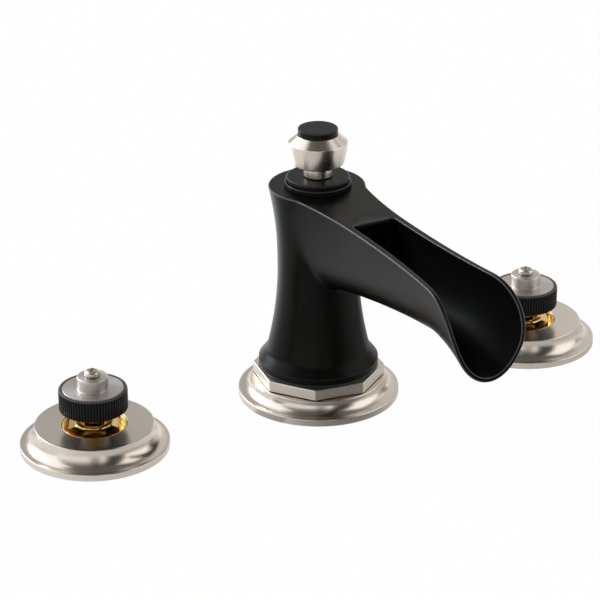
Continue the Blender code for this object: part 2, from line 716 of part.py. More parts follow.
def build_tee():
    """Tee screwed on the shank's foot, with a port on each side for the valve hoses."""
    socket = SHANK_RADIUS + SEAT_GAP
    socket_mouth = SHANK_BOTTOM + TEE_SOCKET_DEPTH
    ledge = SHANK_BOTTOM - SEAT_GAP
    groove_half = SEAL_SECTION / 2 + SEAT_GAP
    hole = TUBE_RADIUS + SEAT_GAP
    groove = hole + SEAL_SECTION + SEAT_GAP
    tee = turned("spout_tee", BRASS, rod_profile(TEE_RADIUS, TEE_BOTTOM, socket_mouth), HIDDEN_STEPS)
    combine(tee, port_solid("tee_ports", -TEE_PORT_REACH, TEE_PORT_REACH, TEE_PORT_HEIGHT), "UNION")
    bore = [
        (0, socket_mouth + OVERRUN),
        (socket, socket_mouth + OVERRUN),
        (socket, ledge),
        (SHANK_BORE, ledge),
        (SHANK_BORE, TEE_BOTTOM + TEE_FLOOR),
        (hole, TEE_BOTTOM + TEE_FLOOR),
        (hole, lower_seal_height() + groove_half),
        (groove, lower_seal_height() + groove_half),
        (groove, lower_seal_height() - groove_half),
        (hole, lower_seal_height() - groove_half),
        (hole, TEE_BOTTOM - OVERRUN),
        (0, TEE_BOTTOM - OVERRUN),
    ]
    combine(tee, turned("tee_bore", CONSTRUCTION, bore, HIDDEN_STEPS), "DIFFERENCE")
    combine(tee, port_bore("tee_port_bore", -TEE_PORT_REACH - OVERRUN, TEE_PORT_REACH + OVERRUN,
                           TEE_PORT_HEIGHT), "DIFFERENCE")


def port_solid(name, start, end, height, place=ORIGIN):
    """Level nipple along X, from one X to another."""
    return level_rod(name, PORT_RADIUS, start, end, height, place)


def port_bore(name, start, end, height, place=ORIGIN):
    return level_rod(name, PORT_BORE, start, end, height, place)


def level_rod(name, radius, start, end, height, place):
    rod = turned(name, CONSTRUCTION, rod_profile(radius, start, end), SMALL_STEPS, place)
    rod.location.z += height
    return laid_along_x(rod, SMALL_STEPS)


# Lift rod

def knob_bottom():
    return SPOUT_HEIGHT + COLLAR_HEIGHT + SEAT_GAP


def build_lift_rod():
    """Rod on the column's axis, its turned knob and the knob's black cap."""
    base = knob_bottom()
    foot = base + KNOB_NECK_LENGTH
    waist = foot + KNOB_WAIST_HEIGHT
    top = waist + KNOB_SHOULDER_HEIGHT
    rod_hole = foot + KNOB_ROD_DEPTH
    groove = ROD_BOTTOM + ROD_GROOVE_UP
    rod = [
        (0, ROD_BOTTOM),
        (ROD_RADIUS, ROD_BOTTOM),
        (ROD_RADIUS, groove),
        (ROD_RADIUS - ROD_GROOVE, groove),
        (ROD_RADIUS - ROD_GROOVE, groove + ROD_GROOVE_HEIGHT),
        (ROD_RADIUS, groove + ROD_GROOVE_HEIGHT),
        (ROD_RADIUS, rod_hole - SEAT_GAP),
        (0, rod_hole - SEAT_GAP),
    ]
    turned("lift_rod", STEEL, rod, SMALL_STEPS)
    middle_radius = (KNOB_FOOT_RADIUS + KNOB_RADIUS) / 2 + KNOB_SIDE_BULGE
    foot_round = arc((KNOB_FOOT_RADIUS - KNOB_FOOT_ROUND, foot + KNOB_FOOT_ROUND), KNOB_FOOT_ROUND,
                     -math.pi / 2, 0, ROUND_STEPS)
    pin_hole = CAP_PIN_RADIUS + SEAT_GAP
    knob = [
        (ROD_RADIUS + SEAT_GAP, base),
        (KNOB_NECK_RADIUS, base),
        (KNOB_NECK_RADIUS, foot),
        *foot_round,
        (middle_radius, (foot + waist) / 2),
        (KNOB_RADIUS, waist - KNOB_EDGE),
        (KNOB_RADIUS - KNOB_EDGE, waist),
        (KNOB_TOP_RADIUS, top),
        (pin_hole, top),
        (pin_hole, top - CAP_PIN_LENGTH - SEAT_GAP),
        (0, top - CAP_PIN_LENGTH - SEAT_GAP),
    ]
    hole = [(0, rod_hole), (ROD_RADIUS + SEAT_GAP, rod_hole)]
    turned("lift_knob", BRUSHED_NICKEL, knob + hole, TRIM_STEPS)
    cap_bottom = top + SEAT_GAP
    cap = [
        (0, cap_bottom + CAP_THICKNESS),
        (CAP_RADIUS - CAP_EDGE, cap_bottom + CAP_THICKNESS),
        (CAP_RADIUS, cap_bottom + CAP_THICKNESS - CAP_EDGE),
        (CAP_RADIUS, cap_bottom),
        (CAP_PIN_RADIUS, cap_bottom),
        (CAP_PIN_RADIUS, top - CAP_PIN_LENGTH),
        (0, top - CAP_PIN_LENGTH),
    ]
    turned("lift_knob_cap", MATTE_BLACK, cap, TRIM_STEPS)


# Valve ends

def build_valve_base(side, place):
    """Flange over the valve's head, its gasket and the nut that it hides."""
    radius = BODY_RADIUS + VALVE_FLANGE_MARGIN
    hole = circumscribed(bonnet_flat(), BONNET_SIDES) + VALVE_PLATE_CLEARANCE
    neck_outer = hole + VALVE_NECK_WALL
    plate_underside = VALVE_FLANGE_HEIGHT - FLANGE_WALL
    neck = [
        (neck_outer, plate_underside),
        (neck_outer, plate_underside - VALVE_NECK_DROP),
        (hole, plate_underside - VALVE_NECK_DROP),
    ]
    profile = flange_profile(radius, VALVE_FLANGE_BAND, VALVE_FLANGE_HEIGHT,
                             radius - VALVE_PLATE_INSET, hole, neck)
    turned(side + "_flange", BRUSHED_NICKEL, profile, VISIBLE_STEPS, place)
    gasket(side + "_gasket", radius, place)
    nut_bottom = SEAT_GAP
    locknut(side + "_upper_nut", BODY_RADIUS + SEAT_GAP, nut_bottom, nut_bottom + UPPER_NUT_THICKNESS,
            place)
    under_counter_clamp(side, BODY_RADIUS, place)


def build_valve_body(side, inward, place):
    """Brass body through the counter: inlet below, and a port towards the spout beside the
    chamber that the water reaches past the discs."""
    inlet_top = cartridge_seat() - SEAT_LEDGE
    bottom = inlet_top - INLET_LENGTH
    inlet = BODY_RADIUS - INLET_STEP
    profile = [
        (0, bottom),
        (inlet, bottom),
        (inlet, inlet_top),
        (BODY_RADIUS, inlet_top),
        (BODY_RADIUS, BODY_TOP),
        (0, BODY_TOP),
    ]
    body = turned(side + "_valve_body", BRASS, profile, HIDDEN_STEPS, place)
    ends = sorted((0, inward * VALVE_PORT_REACH))
    port = port_solid(side + "_port", *ends, VALVE_PORT_HEIGHT, place)
    combine(body, port, "UNION")
    chamber_top = VALVE_PORT_HEIGHT + WATERWAY_HEIGHT / 2
    chamber_bottom = VALVE_PORT_HEIGHT - WATERWAY_HEIGHT / 2
    bonnet_bore = circumscribed(BODY_RADIUS - BONNET_BORE_WALL, HIDDEN_STEPS)
    chamber = BODY_RADIUS - CHAMBER_WALL
    bore = [
        (0, BODY_TOP + OVERRUN),
        (bonnet_bore, BODY_TOP + OVERRUN),
        (bonnet_bore, sleeve_top()),
        (cartridge_bore(), sleeve_top()),
        (cartridge_bore(), chamber_top),
        (chamber, chamber_top),
        (chamber, chamber_bottom),
        (cartridge_bore(), chamber_bottom),
        (cartridge_bore(), cartridge_seat()),
        (seat_bore(), cartridge_seat()),
        (seat_bore(), inlet_top),
        (inlet - INLET_WALL, inlet_top),
        (inlet - INLET_WALL, bottom - OVERRUN),
        (0, bottom - OVERRUN),
    ]
    combine(body, turned(side + "_body_bore", CONSTRUCTION, bore, HIDDEN_STEPS, place), "DIFFERENCE")
    ends = sorted((0, inward * (VALVE_PORT_REACH + OVERRUN)))
    combine(body, port_bore(side + "_port_bore", *ends, VALVE_PORT_HEIGHT, place), "DIFFERENCE")


def cartridge_bore():
    return BODY_RADIUS - CARTRIDGE_BORE_WALL


def seat_bore():
    return cartridge_bore() - SEAT_LEDGE_WIDTH


def sleeve_radius():
    return cartridge_bore() - SEAT_GAP


def disc_radius():
    return sleeve_radius() - SLEEVE_WALL - RUN_GAP


def disc_window_radii():
    return DISC_WINDOW_HUB, disc_radius() - DISC_RIM


def bonnet_flat():
    return BODY_RADIUS - BONNET_INSET


def build_bonnet_nut(side, place):
    """Turned nut with eight flats: skirt in the body, flats in the plate's hole, flare above."""
    flat_bottom = BODY_TOP + SEAT_GAP
    flat_top = flat_bottom + BONNET_FLAT_HEIGHT
    corner = circumscribed(bonnet_flat(), BONNET_SIDES)
    flare_radius = bonnet_flat() - BONNET_FLARE_INSET
    hole = STEM_RADIUS + BONNET_BORE_CLEARANCE
    neck_depth = flare_radius - BONNET_NECK_WALL - hole
    skirt = BODY_RADIUS - BONNET_BORE_WALL - SEAT_GAP
    skirt_bottom = sleeve_top() + SEAT_GAP
    flare = ellipse_arc((flare_radius, BONNET_TOP), neck_depth,
                        BONNET_TOP - flat_top - BONNET_CHAMFER, 1.5 * math.pi, math.pi, ROUND_STEPS)
    profile = [
        (hole, skirt_bottom),
        (skirt, skirt_bottom),
        (skirt, flat_bottom),
        (corner + OVERRUN, flat_bottom),
        (corner + OVERRUN, flat_top - (OVERRUN / (corner - flare_radius)) * BONNET_CHAMFER),
        *flare,
        (hole, BONNET_TOP),
    ]
    nut = turned(side + "_bonnet_nut", BRASS, profile, TRIM_STEPS, place)
    flats = prism(side + "_bonnet_flats", CONSTRUCTION, BONNET_SIDES, 2 * bonnet_flat(),
                  skirt_bottom - OVERRUN, BONNET_TOP + OVERRUN, BONNET_TURN, place)
    combine(nut, flats, "INTERSECT")


def disc_heights():
    """Bottom and top of the fixed disc, then of the turning disc below the stem's water way."""
    turning_top = VALVE_PORT_HEIGHT - WATERWAY_HEIGHT / 2 - SEAT_GAP
    turning_bottom = turning_top - DISC_THICKNESS
    fixed_top = turning_bottom - SEAT_GAP
    return fixed_top - DISC_THICKNESS, fixed_top, turning_bottom, turning_top


def sleeve_bottom():
    return disc_heights()[0]


def sleeve_top():
    return BODY_TOP - BONNET_BORE_DEPTH


def seat_seal_bottom():
    return sleeve_bottom() - SEAT_GAP - SEAT_SEAL_THICKNESS


def cartridge_seat():
    return seat_seal_bottom() - SEAT_GAP


def stem_head_top():
    return VALVE_PORT_HEIGHT + WATERWAY_HEIGHT / 2 + WATERWAY_ROOF


def cut_windows(piece, name, radii, heights, turn, place):
    """Cuts two opposite windows, each the part of a ring between two radii and two heights."""
    for index, middle in enumerate((turn, turn + math.pi)):
        start = middle - WINDOW_ANGLE / 2
        end = middle + WINDOW_ANGLE / 2
        outline = arc((0, 0), radii[1], start, end, WINDOW_STEPS)
        outline += arc((0, 0), radii[0], end, start, WINDOW_STEPS)
        rings = [[(x, y, height) for x, y in outline] for height in heights]
        combine(piece, lofted(f"{name}_{index}", CONSTRUCTION, rings, place), "DIFFERENCE")


def build_cartridge(side, place):
    """Seat seal, fixed disc and windowed sleeve: the still half of the cartridge."""
    bottom = seat_seal_bottom()
    turned(side + "_seat_seal", RUBBER,
           tube_profile(sleeve_radius(), seat_bore(), bottom, bottom + SEAT_SEAL_THICKNESS),
           HIDDEN_STEPS, place)
    bottom, top = disc_heights()[:2]
    disc = turned(side + "_fixed_disc", CERAMIC, rod_profile(disc_radius(), bottom, top),
                  HIDDEN_STEPS, place)
    cut_windows(disc, side + "_fixed_window", disc_window_radii(),
                (bottom - OVERRUN, top + OVERRUN), 0, place)
    inner = sleeve_radius() - SLEEVE_WALL
    roof = stem_head_top() + RUN_GAP
    profile = [
        (inner, sleeve_bottom()),
        (sleeve_radius(), sleeve_bottom()),
        (sleeve_radius(), sleeve_top()),
        (STEM_RADIUS + RUN_GAP, sleeve_top()),
        (STEM_RADIUS + RUN_GAP, roof),
        (inner, roof),
    ]
    sleeve = turned(side + "_cartridge_sleeve", BRASS, profile, HIDDEN_STEPS, place)
    window_half = WATERWAY_HEIGHT / 2 - SEAT_GAP
    heights = (VALVE_PORT_HEIGHT - window_half, VALVE_PORT_HEIGHT + window_half)
    cut_windows(sleeve, side + "_sleeve_window", (STEM_RADIUS, sleeve_radius() + OVERRUN),
                heights, 0, place)


def build_stem(side, place):
    """Turning half of the cartridge, shut at rest: ceramic disc, stem and O-ring.

    The disc's windows and the water way over them stand a quarter turn from the windows of
    the fixed disc and the sleeve. A tongue under the stem's head turns the disc.
    """
    bottom, top = disc_heights()[2:]
    quarter = math.pi / 2
    disc = turned(side + "_turning_disc", CERAMIC, rod_profile(disc_radius(), bottom, top),
                  HIDDEN_STEPS, place)
    cut_windows(disc, side + "_turning_window", disc_window_radii(),
                (bottom - OVERRUN, top + OVERRUN), quarter, place)
    slot_size = (2 * disc_radius() + OVERRUN, DISC_SLOT_WIDTH, 2 * DISC_SLOT_DEPTH)
    combine(disc, box(side + "_disc_slot", CONSTRUCTION, slot_size, (0, 0, top), place), "DIFFERENCE")
    head_bottom = top + SEAT_GAP
    groove_radius = STEM_RADIUS - SEAL_SECTION
    groove_middle = sleeve_top() - STEM_SEAL_DEPTH
    groove_half = SEAL_SECTION / 2 + SEAT_GAP
    profile = [
        (0, head_bottom),
        (disc_radius(), head_bottom),
        (disc_radius(), stem_head_top()),
        (STEM_RADIUS, stem_head_top()),
        (STEM_RADIUS, groove_middle - groove_half),
        (groove_radius, groove_middle - groove_half),
        (groove_radius, groove_middle + groove_half),
        (STEM_RADIUS, groove_middle + groove_half),
        (STEM_RADIUS, SPLINE_BOTTOM - SEAT_GAP),
        (SPLINE_RADIUS, SPLINE_BOTTOM - SEAT_GAP),
        (SPLINE_RADIUS, STEM_TOP),
        (TAP_RADIUS, STEM_TOP),
        (TAP_RADIUS, STEM_TOP - TAP_DEPTH),
        (0, STEM_TOP - TAP_DEPTH),
    ]
    stem = turned(side + "_stem", BRASS, profile, HIDDEN_STEPS, place)
    cut_windows(stem, side + "_water_way", (STEM_RADIUS, disc_radius() + OVERRUN),
                (head_bottom - OVERRUN, stem_head_top() - WATERWAY_ROOF), quarter, place)
    tongue_size = (2 * disc_window_radii()[1], DISC_SLOT_WIDTH - 2 * SEAT_GAP, 2 * DISC_SLOT_DEPTH)
    combine(stem, box(side + "_tongue", CONSTRUCTION, tongue_size, (0, 0, head_bottom), place), "UNION")
    seal_ring(side + "_stem_seal", groove_radius + SEAT_GAP / 2, groove_middle, place)


def build_hub(side, place):
    """Disc and boss that a handle fits on, the fluted ring round it and the screw on top."""
    boss_top = HUB_TOP + HUB_BOSS_HEIGHT
    socket = SPLINE_RADIUS + SEAT_GAP
    socket_top = boss_top - HUB_ROOF
    profile = [
        (socket, SPLINE_BOTTOM),
        (HUB_BARREL_RADIUS, SPLINE_BOTTOM),
        (HUB_BARREL_RADIUS, HUB_TOP - HUB_DISC_THICKNESS),
        (HUB_RADIUS, HUB_TOP - HUB_DISC_THICKNESS),
        (HUB_RADIUS, HUB_TOP - HUB_EDGE),
        (HUB_RADIUS - HUB_EDGE, HUB_TOP),
        (HUB_BOSS_RADIUS, HUB_TOP),
        (HUB_BOSS_RADIUS, boss_top - HUB_EDGE),
        (HUB_BOSS_RADIUS - HUB_EDGE, boss_top),
        (SCREW_RADIUS + SEAT_GAP, boss_top),
        (SCREW_RADIUS + SEAT_GAP, socket_top),
        (socket, socket_top),
    ]
    turned(side + "_hub", BRUSHED_NICKEL, profile, TRIM_STEPS, place)
    build_fluted_ring(side, place)
    build_screw(side, boss_top, place)


def build_fluted_ring(side, place):
    """Ring with straight flutes all round, a plain upper edge, and a ledge under the hub."""
    count = 2 * FLUTES
    angles = [FULL_TURN * index / count for index in range(count)]
    rings = []
    for radius, depth, height in ((RING_RADIUS, FLUTE_DEPTH, RING_BOTTOM),
                                  (RING_RADIUS, FLUTE_DEPTH, RING_TOP - RING_EDGE),
                                  (RING_RADIUS - RING_EDGE, 0, RING_TOP)):
        ring = []
        for index, angle in enumerate(angles):
            here = radius - depth * (index % 2)
            ring.append((here * math.cos(angle), here * math.sin(angle), height))
        rings.append(ring)
    ring = lofted(side + "_fluted_ring", MATTE_BLACK, rings, place)
    ledge = HUB_TOP - HUB_DISC_THICKNESS - SEAT_GAP
    bore = [
        (0, RING_TOP + OVERRUN),
        (HUB_RADIUS + SEAT_GAP, RING_TOP + OVERRUN),
        (HUB_RADIUS + SEAT_GAP, ledge),
        (RING_BORE, ledge),
        (RING_BORE, RING_BOTTOM - OVERRUN),
        (0, RING_BOTTOM - OVERRUN),
    ]
    combine(ring, turned(side + "_ring_bore", CONSTRUCTION, bore, TRIM_STEPS, place), "DIFFERENCE")


def build_screw(side, boss_top, place):
    """Pan-head screw with a cross slot, down through the hub into the stem."""
    seat = boss_top + SEAT_GAP
    dome = ellipse_arc((0, seat + SCREW_HEAD_SIDE), SCREW_HEAD_RADIUS,
                       SCREW_HEAD_HEIGHT - SCREW_HEAD_SIDE, 0, math.pi / 2, ROUND_STEPS)
    profile = [
        (0, seat - SCREW_LENGTH),
        (SCREW_RADIUS, seat - SCREW_LENGTH),
        (SCREW_RADIUS, seat),
        (SCREW_HEAD_RADIUS, seat),
        *dome[:-1],
        (0, seat + SCREW_HEAD_HEIGHT),
    ]
    screw = turned(side + "_hub_screw", STEEL, profile, SMALL_STEPS, place)
    head_top = seat + SCREW_HEAD_HEIGHT
    for index, size in enumerate(((CROSS_LENGTH, CROSS_WIDTH), (CROSS_WIDTH, CROSS_LENGTH))):
        slot = box(f"{side}_cross_{index}", CONSTRUCTION, (*size, 2 * CROSS_DEPTH), (0, 0, head_top),
                   place)
        combine(screw, slot, "DIFFERENCE")


def build_valve(side, sign):
    place = Vector((sign * VALVE_SPREAD / 2, 0, 0))
    build_valve_base(side, place)
    build_valve_body(side, -sign, place)
    build_cartridge(side, place)
    build_bonnet_nut(side, place)
    build_stem(side, place)
    build_hub(side, place)


def main():
    clear_scene()
    build_spout_body()
    build_spout_base()
    build_shank()
    build_collar()
    build_guide_tube()
    build_tee()
    build_lift_rod()
    build_valve("left", -1)
    build_valve("right", 1)


main()
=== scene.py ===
"""Dresses the widespread faucet: fine surfaces, finishes, floor, lights and camera.

Pieces are drawn in millimetres and made in metres, +Z up, with the spout's centre at the origin and
its mouth towards -Y, as in the CAD frame.
"""
import json
import math

import bmesh
import bpy
import numpy as np
from mathutils import Matrix, Vector

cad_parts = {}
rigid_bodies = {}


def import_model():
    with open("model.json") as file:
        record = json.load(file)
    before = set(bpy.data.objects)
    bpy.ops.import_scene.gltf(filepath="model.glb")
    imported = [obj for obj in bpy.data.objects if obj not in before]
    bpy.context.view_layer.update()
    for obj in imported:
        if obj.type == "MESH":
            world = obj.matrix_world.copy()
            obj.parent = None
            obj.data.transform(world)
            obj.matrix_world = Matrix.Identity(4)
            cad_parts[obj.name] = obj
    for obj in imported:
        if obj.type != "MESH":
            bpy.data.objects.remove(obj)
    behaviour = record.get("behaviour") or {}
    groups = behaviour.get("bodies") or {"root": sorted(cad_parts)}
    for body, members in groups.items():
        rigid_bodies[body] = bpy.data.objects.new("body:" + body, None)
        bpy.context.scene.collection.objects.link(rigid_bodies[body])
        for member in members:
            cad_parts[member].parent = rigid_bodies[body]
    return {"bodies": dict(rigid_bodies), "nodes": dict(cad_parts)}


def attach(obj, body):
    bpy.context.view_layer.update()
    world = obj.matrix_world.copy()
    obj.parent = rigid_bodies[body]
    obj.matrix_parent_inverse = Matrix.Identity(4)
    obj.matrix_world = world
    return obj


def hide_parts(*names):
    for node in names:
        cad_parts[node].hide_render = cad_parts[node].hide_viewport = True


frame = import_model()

cad_objects = {*frame["nodes"].values(), *frame["bodies"].values()}
for leftover in [item for item in bpy.data.objects if item not in cad_objects]:
    bpy.data.objects.remove(leftover)
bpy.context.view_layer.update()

MM = 0.001
TURN = 2 * math.pi
HALF = math.pi / 2
HALF_FLAT = math.pi / 8
CAMERA_TURN = math.radians(-28.5)

# Sizes that repeat the CAD model's, in millimetres
VALVE_X = 101.6
SIDES = (("left", -VALVE_X), ("right", VALVE_X))
HEIGHT = 92.3
REACH = 129.9
LIP = HEIGHT - 32.2
CREST_REACH = REACH - 31.2
CREST = HEIGHT - 24.55
ROOT = HEIGHT - 36.7
ROOT_REACH = 24.0
ARM_START = 8.5
NECK_REACH = 55.0
NECK_HALF = 12.05
ROOT_FLARE_REACH = 13.1
ROOT_HALF = 15.4
MOUTH_HALF = 18.0
SECTION_POWER = 2.05
BROW = 21.6
FACE_LEAN = 0.45
WAIST = HEIGHT - 35.3
BASE = 13.75
FOOT_TOP = BASE + 3.2
FOOT_ROUND = 0.35
CHANNEL_START = 43.6
CHANNEL_DEPTH = 18.8
CREST_DEPTH = 21.2
LIP_WALL = 1.9
CHANNEL_WALL = 2.9
MOUTH_WALL = 1.8
TUNNEL_HALF = 6.4
TUNNEL_RISE = 4.5
TUNNEL_HEIGHT = HEIGHT - 11.8
TUNNEL_LENGTH = 30.0
FLANGE_HOLE = 13.3
ROD_BORE = 2.68
KNOB_BASE = HEIGHT + 4.5
PEG_LENGTH = 3.3


# Meshes

def stacked(*parts):
    """The parts along a new last axis, each stretched to the shape that fits them all."""
    return np.stack(np.broadcast_arrays(*parts), -1)


def grid(points, wrap=False, flip=False):
    """Quads over a (rows, columns, 3) grid of points; wrap joins the last column to the first."""
    index = np.arange(points[..., 0].size).reshape(points.shape[:2])
    if wrap:
        index = np.concatenate([index, index[:, :1]], 1)
    quads = stacked(index[:-1, :-1], index[:-1, 1:], index[1:, 1:], index[1:, :-1]).reshape(-1, 4)
    return points, quads[:, ::-1] if flip else quads


def mirrored(part):
    """The same part with x negated and its faces turned round, so that they still point out."""
    points, quads = part
    return points * [-1, 1, 1], quads[:, ::-1]


def placed(name, data):
    """A new object in the scene."""
    made = bpy.data.objects.new(name, data)
    bpy.context.scene.collection.objects.link(made)
    return made


def piece(name, parts, sharp=40):
    """A closed mesh object from parts in millimetres whose rims meet.

    Doubles are merged, normals point out, and edges past the angle of sharp degrees are sharp.
    """
    points = np.concatenate([part.reshape(-1, 3) for part, _ in parts])
    starts = np.cumsum([0] + [part[..., 0].size for part, _ in parts])
    quads = np.concatenate([part + start for (_, part), start in zip(parts, starts)])
    mesh = bpy.data.meshes.new(name)
    mesh.from_pydata((points * MM).tolist(), [], quads.tolist())
    bm = bmesh.new()
    bm.from_mesh(mesh)
    bmesh.ops.remove_doubles(bm, verts=bm.verts, dist=0.002 * MM)
    bmesh.ops.dissolve_degenerate(bm, edges=bm.edges, dist=0.001 * MM)
    bmesh.ops.delete(bm, geom=[edge for edge in bm.edges if not edge.link_faces], context="EDGES")
    bmesh.ops.recalc_face_normals(bm, faces=bm.faces)
    bm.to_mesh(mesh)
    bm.free()
    mesh.shade_smooth()
    mesh.set_sharp_from_angle(angle=math.radians(sharp))
    mark_edges(mesh)
    return placed(name, mesh)


def values_of(items, field, columns, kind=float):
    """One field of all the items of a mesh, as an array with a row for each item."""
    values = np.empty(len(items) * columns, kind)
    items.foreach_get(field, values)
    return values.reshape(-1, columns)


def set_values(attribute, values):
    """Stores one number for each point in an attribute."""
    attribute.data.foreach_set("value", values.astype(np.float32))


def mark_edges(mesh):
    """Point attribute "edge": the surface's outward turn per millimetre, within -1 and 1.

    Along a mesh edge the turn is (n2 - n1) . (p2 - p1) / |p2 - p1|^2. A point takes the mean over
    its edges, half shared with its neighbours. Hollows come out negative.
    """
    points, normals = values_of(mesh.vertices, "co", 3), values_of(mesh.vertex_normals, "vector", 3)
    count = len(points)
    first, second = values_of(mesh.edges, "vertices", 2, int).T
    run = points[second] - points[first]
    turn = ((normals[second] - normals[first]) * run).sum(1) / (run ** 2).sum(1)
    share = np.bincount(first, minlength=count) + np.bincount(second, minlength=count)
    level = (np.bincount(first, turn, count) + np.bincount(second, turn, count)) / share
    level = np.clip(level * MM, -1, 1)
    around = (np.bincount(first, level[second], count) + np.bincount(second, level[first], count)) / share
    set_values(mesh.attributes.new("edge", "FLOAT", "POINT"), (level + around) / 2)


def rounded(corners, steps=5, support=0.12):
    """A closed outline of (radius, height, fillet) corners with an arc in place of each filleted one.

    An arc touches both sides at fillet / tan(half the corner's angle) from the corner, and a
    support point a little further along each side keeps the flat beside it flat in shading.
    """
    corners = np.array(corners, float)
    most, least = 0.49, 1e-6
    outline = []
    for index, (here_r, here_z, fillet) in enumerate(corners):
        here = np.array([here_r, here_z])
        before = corners[index - 1][:2] - here
        after = corners[(index + 1) % len(corners)][:2] - here
        if fillet <= 0:
            outline.append(here[None])
            continue
        long_before, long_after = np.linalg.norm(before), np.linalg.norm(after)
        before, after = before / long_before, after / long_after
        half = math.acos(np.clip(before @ after, -1, 1)) / 2
        run = min(fillet / math.tan(half), most * long_before, most * long_after)
        radius = run * math.tan(half)
        middle = before + after
        centre = here + middle / np.linalg.norm(middle) * (radius / math.sin(half))
        start, end = here + before * run - centre, here + after * run - centre
        sweep = math.atan2(start[0] * end[1] - start[1] * end[0], start @ end)
        angles = np.linspace(0, sweep, steps + 1)[:, None]
        crossed = np.array([-start[1], start[0]])
        arc = centre + start * np.cos(angles) + crossed * np.sin(angles)
        lead, trail = [min(support, 0.3 * (0.5 * long - run) + least) for long in (long_before, long_after)]
        outline += [(arc[0] + before * lead)[None], arc, (arc[-1] + after * trail)[None]]
    return np.concatenate(outline)


def carried(radius, height, x, steps):
    """Rows of points at a radius and a height, carried round the upright axis at x."""
    angles = np.linspace(0, TURN, steps, endpoint=False)
    return grid(stacked(x + radius * np.cos(angles), radius * np.sin(angles), height), wrap=True)


def turned(corners, steps=128, x=0.0, arc_steps=5):
    """Solid of revolution from (radius, height, fillet) corners, closed on itself."""
    outline = rounded(corners, arc_steps)
    outline = np.concatenate([outline, outline[:1]])
    return carried(outline[:, :1], outline[:, 1:], x, steps)


def quarter(centre, half_width, half_height, start, end, steps):
    """(radius, height, 0) corners along part of an ellipse."""
    angles = np.linspace(start, end, steps + 1)
    return [(centre[0] + half_width * math.cos(a), centre[1] + half_height * math.sin(a), 0) for a in angles]


def ease(value):
    """Smooth step from 0 to 1: 3v^2 - 2v^3 of the clipped value."""
    value = np.clip(value, 0, 1)
    return value * value * (3 - 2 * value)


def closer_at_end(count):
    """Shares above 0 and up to 1 that draw closer towards 1, as a sine does."""
    return np.sin(np.linspace(0, HALF, count + 1))[1:]


def closer_at_both(count):
    """Shares from 0 to 1 that draw closer towards both, as a cosine does."""
    return (1 - np.cos(np.linspace(0, math.pi, count))) / 2


# Finishes

class Shade:
    """A node socket in sums: + - * / and ** between shades and numbers add Math nodes."""

    def __init__(self, nodes, socket):
        self.nodes, self.socket = nodes, socket

    def math(self, operation, *values, clamp=False):
        return self.nodes.add("ShaderNodeMath", dict(enumerate(values)), operation=operation, use_clamp=clamp)

    def __add__(self, other):
        return self.math("ADD", self, other)

    def __mul__(self, other):
        return self.math("MULTIPLY", self, other)

    def __sub__(self, other):
        return self.math("SUBTRACT", self, other)

    def __rsub__(self, other):
        return self.math("SUBTRACT", other, self)

    def __truediv__(self, other):
        return self.math("DIVIDE", self, other)

    def __pow__(self, other):
        return self.math("POWER", self, other)

    __radd__, __rmul__ = __add__, __mul__

    def also(self, name):
        """Another output of the same node."""
        return Shade(self.nodes, self.socket.node.outputs[name])

    def within(self):
        """Clipped to 0 and 1."""
        return self.math("ADD", self, 0.0, clamp=True)

    def rise(self, low, high):
        """Smooth step from 0 at low to 1 at high."""
        return self.nodes.add("ShaderNodeMapRange", {"Value": self, "From Min": low, "From Max": high},
                              interpolation_type="SMOOTHSTEP")


class Nodes:
    """A node tree that grows by add(): a node's type, its sockets' values or links, and its settings."""

    def __init__(self, tree):
        self.tree = tree

    def add(self, kind, sockets, output=0, **settings):
        node = self.tree.nodes.new(kind)
        for setting, value in settings.items():
            setattr(node, setting, value)
        for name, value in sockets.items():
            self.put(node.inputs[name], value)
        return Shade(self, node.outputs[output]) if node.outputs else None

    def put(self, socket, value):
        if isinstance(value, Shade):
            self.tree.links.new(value.socket, socket)
        else:
            socket.default_value = value

    def mixed(self, share, first, second):
        """Colour between first, at share 0, and second, at share 1."""
        return self.add("ShaderNodeMix", {0: share, 6: first, 7: second}, 2, data_type="RGBA")

    def noise(self, scale, detail=2.0, roughness=0.5):
        return self.add("ShaderNodeTexNoise", {
            "Vector": self.place, "Scale": scale, "Detail": detail, "Roughness": roughness})

    def split(self, place):
        """The x, y and z of a vector."""
        x = self.add("ShaderNodeSeparateXYZ", {0: place})
        return x, x.also("Y"), x.also("Z")


